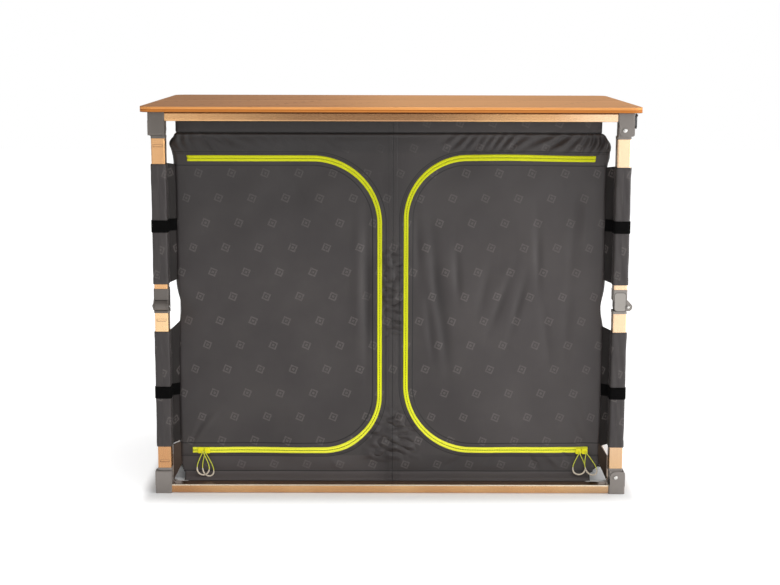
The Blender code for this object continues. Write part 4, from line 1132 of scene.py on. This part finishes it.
def cloth_finish(name, light, deep, sewn=False, **sockets):
    """The weave, the printed mark, wear, creases with painted shade in their folds, and where sewn
    is set, the seam lines and painted light and shade across the panels.
    """
    looks = {"Sheen_Weight": 0.04, "Sheen_Roughness": 0.4, "Specular_IOR_Level": 0.40}
    cloth = Finish(name, 0.46, **(looks | sockets))
    u, v, _ = cloth.axes("UV")
    row = (v * (1 / MARK_TALL) + 0.5).calc("FLOOR")
    shifted = u + row.calc("MODULO", 2.0) * (MARK_WIDE / 2) + row * 0.0067
    mark_u, mark_v = shifted.repeat(MARK_WIDE), v.repeat(MARK_TALL)
    turned = (mark_u * 0.92 + mark_v * 0.38).size() + (mark_v * 0.92 - mark_u * 0.38).size()
    ring, dot = turned.line(0.0088, 0.0017, 0.0008), turned.step(0.0040, 0.0028)
    wear = cloth.noise((u, v, 3.0), 260.0, 2.0).step(0.25, 0.6)
    base = cloth.layers(
        deep,
        (cloth.noise((u, v, 0.0), 9.0, 4.0).step(0.3, 0.75), light),
        (ring.calc("MAXIMUM", dot) * (wear * 0.45 + 0.18), PRINT),
        # painted shade: darker where the cloth lies deep in a fold
        (cloth.attribute("dip").step(0.05, 0.9) * 0.55, (38, 34, 34)),
    )
    threads = u.wave(0.0007) * v.wave(0.0007)
    speck = cloth.noise((u, v, 7.0), 1400.0, 1.0)
    crease = cloth.noise((u * 26.0, v * 11.0, 1.0), 1.0, 5.0, 0.62)
    height = threads * 0.05 + speck * 0.10 + crease * 1.1
    if sewn:
        rim, aside = cloth.attribute("rim"), u.size()
        front = aside.step(CORNER_S + 0.0010, CORNER_S)
        lap = rim.step(0.0104, 0.0096) * rim.step(-0.0150, -0.0142) * front * 0.6
        seam = aside.step(0.0092, 0.0078) * 0.35 - aside.step(0.0008, 0.0002) * 0.6
        hem = v.step(0.0388, 0.0378) * 0.5
        neck = v.line(NECK_Z, 0.0007, 0.0005) * -0.9
        crumple = cloth.noise((u * 26.0 + v * 12.0, v * 38.0, 5.0), 1.0, 1.0, 0.4) - 0.5
        strip = aside.step(0.026, 0.014) * v.line(0.42, 0.07, 0.05)
        foot = aside.step(0.072, 0.030) * v.line(0.115, 0.030, 0.035)
        height = height + lap + seam + hem + neck + crumple.size() * (strip * 34.0 + foot * 32.0)
        lines = rim.line(0.0101, 0.0004, 0.0006) * front * 0.6
        for line in (
            rim.line(0.0133, 0.0007, 0.0006) * front * 0.92,
            rim.line(-0.0143, 0.0007, 0.0006) * front * 0.92,
            u.line(0.0, 0.0005, 0.0006) * 0.8,
            v.line(0.0368, 0.0007, 0.0006) * 0.95,
            v.line(NECK_Z, 0.0011, 0.0005) * 0.95,
            aside.line(CORNER_S, 0.0006, 0.0010) * 0.75,
            cloth.attribute("notch").step(0.0026, 0.0016) * 0.9,
        ):
            lines = lines.calc("MAXIMUM", line)
        # painted light and shade: the band under the neck in the board's shadow, darkest on the
        # left; the right door lighter; the foot band shaded on the right and lit on the left; the
        # hem lit; the upper doors, more on the left, and the middle strip shaded
        low = v.step(0.0740, 0.0700) * 0.22
        base = cloth.layers(
            base,
            (v.step(0.700, 0.712) * (u.step(0.14, -0.08) * 0.76 + 0.12), SHADOW),
            (u.step(0.05, 0.30) * v.step(0.70, 0.62) * 0.18, (88, 82, 81)),
            (low * u.step(0.0, 0.10), SHADOW),
            (low * u.step(0.0, -0.10), SHINE),
            (v.step(0.0376, 0.0356) * 0.30, SHINE),
            (v.step(0.42, 0.69) * (u.step(0.10, -0.05) * 0.18 + 0.32), SHADOW),
            (aside.step(0.020, 0.012) * 0.25, SHADOW),
            (lines, (14, 12, 12)),
        )
    return cloth.set(Base_Color=base).bump(height, 0.0010, 0.8)


cloth_finish("charcoal_cloth_sewn", CHARCOAL, CHARCOAL_DEEP, True).paint(cabinet, *doors.values())
cloth_finish("charcoal_cloth", CHARCOAL, CHARCOAL_DEEP).paint(*sleeves.values(), *ledges)
# painted shade: the webs take a darker copy of the charcoal cloth for the shade they lie in
web_looks = {"Specular_IOR_Level": 0.12, "Sheen_Weight": 0.0}
cloth_finish("charcoal_web_painted_shade", (40, 36, 35), (34, 31, 30), **web_looks).paint(*webs)
cloth_finish("umber_inner_cloth", UMBER, UMBER_DEEP, Specular_IOR_Level=0.1).paint(*gussets)
print("cloth painted on", 3 + len(sleeves) + len(webs) + len(ledges) + len(gussets), "pieces")

# %% [markdown]
# Webbing is black with fine ribs across. Zip tape is bright lime with ribs along, with painted
# shade in the groove and along the top run and a painted highlight along the foot. Cords are lime
# too, with a twist; their grips are pale and rubbery.


# %% Trim
def speckled(name, scale, first, second, roughness, depth=None, metallic=0.0):
    """Two tones mixed by a noise over the object. The noise is its bump too, where it has one."""
    finish = Finish(name, roughness, metallic)
    noise = finish.noise(finish.axes(), scale, 2.0)
    finish.colours(first, (noise, second))
    return finish.bump(noise, depth) if depth else finish


webbing = Finish("black_webbing", 0.8, Specular_IOR_Level=0.08)
u, v, _ = webbing.axes("UV")
ribs = v.wave(0.0016)
webbing.colours((2, 2, 2), (ribs * 0.5 + 0.5, (7, 6, 6)))
webbing.bump(ribs * u.wave(0.0016).size(), 0.0003).paint(*straps.values(), *tails.values())

tape = Finish("lime_tape", 0.6, Specular_IOR_Level=0.25)
u, v, _ = tape.axes("UV")
_, _, z = tape.axes()
tape.colours(
    (226, 230, 8),
    (tape.noise((u * 40.0, v * 300.0, 0.0)).step(0.25, 0.8), (240, 243, 14)),
    # painted shade along the top run, a painted highlight along the foot and painted shade in the
    # groove
    (z.step(0.20, 0.60) * 0.75, (196, 199, 16)),
    (z.step(0.25, 0.09) * 0.9, (255, 255, 70)),
    (v.size().step(0.0012, 0.0004), (176, 182, 6)),
)
tape.bump(v.wave(0.0011) * 0.5 + u.wave(0.0008) * 0.5, 0.0002).paint(*bands.values())

thread = speckled("lime_thread", 900.0, (190, 196, 10), (216, 220, 20), 0.6)
thread.paint(*rows.values())

cord_finish = Finish("lime_cord", 0.6, Sheen_Weight=0.1)
u, v, _ = cord_finish.axes("UV")
twist = (v + u * 1.6).wave(0.0022)
cord_finish.colours((206, 212, 30), (twist * 0.5 + 0.5, (236, 238, 84))).bump(twist, 0.0002)
cord_finish.paint(*(cord for cord, _, _ in loops.values()))

grip_finish = speckled("pale_grip", 300.0, (192, 178, 158), (222, 211, 194), 0.45, 0.0002)
grip_finish.paint(*(grip for _, grip, _ in loops.values()))

enamel = Finish("lime_enamel", 0.4, Specular_IOR_Level=0.3)
chips = enamel.noise(enamel.axes(), 420.0)
enamel.colours((232, 226, 8), (chips.step(0.72, 0.78), (190, 186, 20)))
enamel.bump(chips, 0.0001).paint(*metal.values())

steel = Finish("bright_steel", 0.3, 1.0)
x, y, z = steel.axes()
scratch = steel.noise((x * 300.0, y * 300.0, z * 2400.0))
steel.colours((188, 186, 182), (scratch, (214, 212, 209))).set(Roughness=scratch * 0.2 + 0.18)
steel.paint(*rivets.values(), *elbow_rivets.values())
print("trim painted")

# %% [markdown]
# The board is bamboo: strips glued side by side, each with its own tone, fine dark fibres along
# it and a node every 30 cm or so. Its rounded edge shows three layers with a thin dark line.

# %% Bamboo
STRIP, NODE_STEP = 0.0175, 0.29
bamboo = Finish("bamboo", 0.55, Specular_IOR_Level=0.12)
x, y, z = bamboo.axes()
strip = (y * (1 / STRIP)).calc("FLOOR")
tone = bamboo.noise((strip * 7.31, 0.5, 0.5), 1.0, 0.0)
fibres = bamboo.noise((x * 14.0, y * 950.0, z * 950.0), 1.0, 4.0, 0.7)
broad = bamboo.noise((x * 5.0, y * 60.0, z * 60.0))
joint = (x + strip * 0.137).repeat(NODE_STEP).line(0.0, 0.0022, 0.0035)
glue = y.repeat(STRIP).size().step(STRIP / 2 - 0.0007, STRIP / 2)
board_top = bamboo.layers(
    (204, 140, 88),
    (tone.step(0.3, 0.7), (222, 162, 108)),
    (fibres.step(0.35, 0.8) * 0.5, (136, 84, 46)),
    (joint * 0.45, (120, 72, 40)),
    (glue * 0.35, (112, 70, 42)),
    # painted shade towards the left end of the board, and painted light on its middle and right
    (x.step(-0.10, -0.46) * 0.5, (160, 114, 78)),
    (x.step(-0.20, 0.05) * (x.step(0.45, 0.15) * 0.25 + 0.38), (246, 180, 116)),
)
bamboo.colours(
    (224, 156, 90),
    ((z - 0.7937).size().step(0.0012, 0.0005), (152, 84, 26)),
    (broad.step(0.3, 0.75) * 0.4, (182, 112, 52)),
    (z.step(0.7936, 0.7926) * 0.7, (172, 98, 28)),
    (z.step(0.7900, 0.7892), (104, 60, 26)),
    (z.step(0.7986, 0.7994), board_top),
)
bamboo.bump(fibres * 0.25 - glue * 0.4 - joint * 0.15, 0.0003)
bamboo.set(Roughness=fibres * 0.15 + 0.48).paint(nodes["table_top"])
print("board painted")

# %% [markdown]
# Rails and legs are aluminium, anodised in a pale champagne gold and brushed along their length.
# Brushing is noise drawn out a hundred times longer in one direction. Light and shade from the
# lamps are painted on as tints too.

# %% Aluminium
CRIMP_Z = (0.0680, 0.3650, 0.4442, 0.7208)


def brushed(name, axis, crimp=None):
    """Brushed along one axis. crimp is the axis across which the tubes' crimps are outlined in
    painted shade.
    """
    gold = Finish(name, 0.3, 0.8, Coat_Weight=0.8, Coat_Roughness=0.2)
    x, _, z = parts = gold.axes()
    stretch = [6.0 if i == axis else 700.0 for i in range(3)]
    lines = gold.noise([part * k for part, k in zip(parts, stretch)], 1.0, 4.0, 0.7)
    left, right, low = x.step(-0.30, -0.46), x.step(0.30, 0.46), z.step(0.16, 0.08)
    tints = [
        (gold.noise(parts, 7.0).step(0.3, 0.7), (224, 176, 120)),
        (lines.step(0.35, 0.75) * 0.35, (182, 126, 78)),
        # painted highlight: the right-hand rails and tubes paler, as in the lamps' glare
        (x.step(0.28, 0.46) * (z.step(0.04, 0.16) * 0.48 + 0.02), (238, 214, 186)),
        # painted shade at the feet on both sides, and a painted highlight on the middle of the left
        # tubes
        (left * low * 0.5, (160, 108, 62)),
        (left * z.line(0.36, 0.02, 0.05) * 0.45, (255, 222, 172)),
        (right * low * 0.5, (176, 148, 118)),
    ]
    if crimp is not None:
        across = (parts[crimp].size() - (LEG_X, LEG_Y)[crimp]).size()
        level, *others = [(z - middle).size() for middle in CRIMP_Z]
        for other in others:
            level = level.calc("MINIMUM", other)
        inside = across.step(0.0104, 0.0098) * level.step(0.0030, 0.0025)
        core = across.step(0.0092, 0.0086) * level.step(0.0019, 0.0014)
        # painted shade round the edge of each crimp's dent
        tints.append(((inside - core) * 0.62, (120, 78, 44)))
    if axis == 0:
        tints += [
            # painted shadow on the middle of the top rails under the board, a painted highlight
            # along the low rails' top edge and painted shade on their top face
            (x.line(-0.06, 0.10, 0.24) * z.step(0.3, 0.4) * 0.6, (136, 92, 62)),
            (z.line(0.0172, 0.0009, 0.0003) * 0.95, (255, 244, 222)),
            (z.line(0.0190, 0.0004, 0.0002) * 0.7, (104, 70, 48)),
        ]
    gold.colours((210, 157, 102), *tints)
    return gold.set(Roughness=lines * 0.14 + 0.18).bump(lines, 0.00008)


along_x, along_y = brushed("aluminium_along_x", 0), brushed("aluminium_along_y", 1)
leg_facing_front = brushed("aluminium_leg_front", 2, 0)
leg_facing_side = brushed("aluminium_leg_side", 2, 1)
for name, node in nodes.items():
    if "_rail_" in name:
        (along_x if name.endswith(("front", "back")) else along_y).paint(node)
    elif name.startswith("leg_tube"):
        (leg_facing_front if name.endswith(("fl", "rr")) else leg_facing_side).paint(node)
print("rails and tubes painted")

# %% [markdown]
# Brackets, leg ends and elbows are moulded in warm grey plastic with a fine satin grain, with light
# and shade painted on. The boards are covered in pale grey sheet; the floor board's front lip is
# painted dark, as shade under the hem. The ring is black coated wire.


# %% Plastic, boards and wire
def moulded(name, plate=None):
    """Satin grey with a fine grain, with painted light and shade. plate is the axis across which
    the elbows' cover is outlined.

    The outline is where the distance to a box with round corners, 24 by 39 mm, is near zero."""
    plastic = Finish(name, 0.48, Specular_IOR_Level=0.35)
    x, y, z = parts = plastic.axes()
    grain, flow = plastic.noise(parts, 1600.0, 2.0), plastic.noise(parts, 24.0)
    left, front, high = x.step(-0.30, -0.46), y.step(0.0, -0.1), z.step(0.6, 0.7)
    tints, height = [(flow.step(0.3, 0.7), (114, 108, 103))], grain
    if plate is not None:
        across = ((x, y)[plate].size() - (LEG_X, LEG_Y)[plate]).size().over(0.0058)
        up = (z - 0.4042).size().over(0.0135)
        edge = (across * across + up * up).calc("SQRT") - 0.006
        groove = edge.line(0.0, 0.0004, 0.0004)
        # painted light on the covers of the fr and rl elbows and painted shade on those of fl and
        # rr; the front left elbow painted darker
        cover = (160, 155, 149) if plate == 0 else (54, 50, 48)
        tints += [(edge.step(0.0002, -0.0002) * 0.8, cover), (left * front * 0.3, (70, 64, 60))]
        if plate == 0:
            # painted highlight on the front right elbow's body
            body = x.step(0.30, 0.40) * front * edge.step(0.0004, 0.0008)
            tints.append((body * 0.55, (150, 145, 139)))
        tints.append((groove * 0.6, (58, 54, 52)))
        height = grain - groove * 3.0
    # painted light on the low brackets and leg ends and on the upper right brackets, painted shade
    # on the upper left ones
    tints += [
        (z.step(0.10, 0.08) * 0.6, (142, 135, 130)),
        (high * left * 0.5, (88, 82, 76)),
        (high * x.step(0.3, 0.46) * 0.5, (132, 126, 121)),
    ]
    plastic.colours((104, 98, 93), *tints)
    return plastic.bump(height, 0.00015).set(Roughness=grain * 0.2 + 0.38)


plastic = moulded("warm_grey_plastic")
elbow_plates = moulded("warm_grey_plate_front", 0), moulded("warm_grey_plate_side", 1)
for name, node in nodes.items():
    if "bracket" in name or name.startswith("leg_end"):
        plastic.paint(node)
    elif name.startswith("elbow"):
        elbow_plates[name.endswith(("fl", "rr"))].paint(node)

sheet = Finish("pale_grey_sheet", 0.5)
x, y, z = sheet.axes()
haze = sheet.noise((x, y, z), 12.0, 4.0).step(0.3, 0.7)
# painted shade: the floor board's front lip darkened between the corners, under the hem
lip = x.step(-0.427, -0.421) * x.step(0.413, 0.407) * y.step(-0.200, -0.210) * z.step(0.10, 0.08)
sheet.colours((240, 241, 242), (haze, (248, 249, 249)), (lip * 0.96, (52, 44, 40)))
dot_x, dot_y = x.repeat(0.004), y.repeat(0.004)
sheet.bump((dot_x * dot_x + dot_y * dot_y).step(0.0000025, 0.0000010), 0.0002)
sheet.paint(*(nodes[name] for name in ("floor_board", "shelf_lower", "shelf_upper")))

wire = speckled("black_wire", 700.0, (44, 44, 46), (66, 66, 68), 0.28, 0.0001, 0.7)
wire.paint(nodes["hanging_ring"])
print("frame painted")

# %% [markdown]
# The floor is a wide sheet just under the feet. It glows so that it shows white, but its glow fades
# near the frame and is dim under the cupboard, which paints in a soft shadow round the foot. It is
# part of the studio and not of the cupboard.

# %% Floor
FLOOR_Z, FLOOR_HALF = -0.0002, 9.0
floor_finish = Finish("studio_floor", 0.9, Emission_Color=WHITE)
x, y, z = floor_finish.axes()
past_x, past_y = x.size().over(0.49), y.size().over(0.27)
away = (past_x * past_x * 10.0 + past_y * past_y).calc("SQRT")
paper = floor_finish.noise((x, y, z), 2.0, 2.0)
floor_finish.colours([0.93, 0.93, 0.93, 1.0], (paper, [0.95, 0.95, 0.95, 1.0]))
# painted shadow: the glow is 0.08 at the frame and rises to 0.68 further out
floor_finish.set(Emission_Strength=away.step(0.0, 0.12) * 0.60 + 0.08)
gx, gy = np.meshgrid(*[np.linspace(-FLOOR_HALF, FLOOR_HALF, 7)] * 2)
flat = np.stack([gx, gy, np.full_like(gx, FLOOR_Z)], -1)
floor = grid_mesh("floor", flat, wrap=(False, False))
floor_finish.paint(floor)
print("floor at", FLOOR_Z * 1000, "mm")

# %% [markdown]
# Each sewn piece stands for its plain solid, which is hidden, and moves with that solid's body.
# When the frame folds, the board comes down by 685 mm; the sliders and loops don't come down with
# it. The heights about which the pieces would be pressed, a tenth of the cloth's height below the
# board and one near the foot for the sliders and loops, are worked out, but the pieces only get
# meshes of their own and nothing presses them.

# %% Riding
FOLD, KEEP, FALL = "fold_lower_leg_fl", 0.1, 0.6852
SETTLED = (CABINET_TOP * (1 - KEEP) - FALL) / (1 - KEEP)


def hang(obj, body, slot, *solids, crumple=None):
    """Rides on a body and stands for solids, which are hidden; where a height to crumple about is
    given, it gets a mesh of its own.
    """
    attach(obj, body)
    if solids:
        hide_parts(*solids)
    if crumple is not None:
        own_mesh(obj)


hang(cabinet, "top_frame", "cloth", "cabinet", crumple=CABINET_TOP)
for piece in (*webs, *ledges, *gussets, *tails.values()):
    hang(piece, "top_frame", "cloth", crumple=CABINET_TOP)
for _, label in SIDES:
    door, running = "door_" + label, "zip_slider_" + label
    hang(doors[label], door, "cloth", door, crumple=CABINET_TOP)
    for strip, key, body in (("inner", "door_", door), ("outer", "side_", "top_frame")):
        hang(bands[strip, label], body, "zip_pull", crumple=CABINET_TOP)
        for kind in ("coil_", "stitch_"):
            hang(rows[kind + key + label], body, "zip_pull", crumple=CABINET_TOP)
    hang(metal["near", label], running, "zip_pull", running, crumple=SETTLED)
    hang(metal["bridge_near", label], running, "zip_pull", crumple=SETTLED)
    for kind in ("far", "bridge_far"):
        hang(metal[kind, label], "top_frame", "zip_pull", crumple=CABINET_TOP)
    for kind, body in (("near", running), ("far", "zip_pull_" + label)):
        for piece in loops[kind, label][:2]:
            hang(piece, body, "zip_pull", crumple=SETTLED)
    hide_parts("zip_pull_" + label)
for key in sleeves:
    hang(sleeves[key], key.replace("_", "_leg_"), "cloth", "leg_wrap_" + key)
    hang(straps[key], key.replace("_", "_leg_"), "cloth")
for (level, corner), rivet in rivets.items():
    hang(rivet, "bottom_frame" if level == "low" else "top_frame", "leg_aluminium")
for name, rivet in elbow_rivets.items():
    hang(rivet, "lower_leg_" + name.split("_")[2], "leg_aluminium")
print("every piece rides on its body")

# %% [markdown]
# The outer zip tapes, coils and stitches are gathered in a list, and each sleeve's span is looked
# up; nothing more is done with them.

# %% Cords and sheets
outer_trim = [bands["outer", label] for _, label in SIDES]
outer_trim += [rows[k + label] for k in ("coil_side_", "stitch_side_") for _, label in SIDES]
for key, sleeve in sleeves.items():
    low, high = span(*key.split("_"))
    high - low
    "leg_tube_" + key
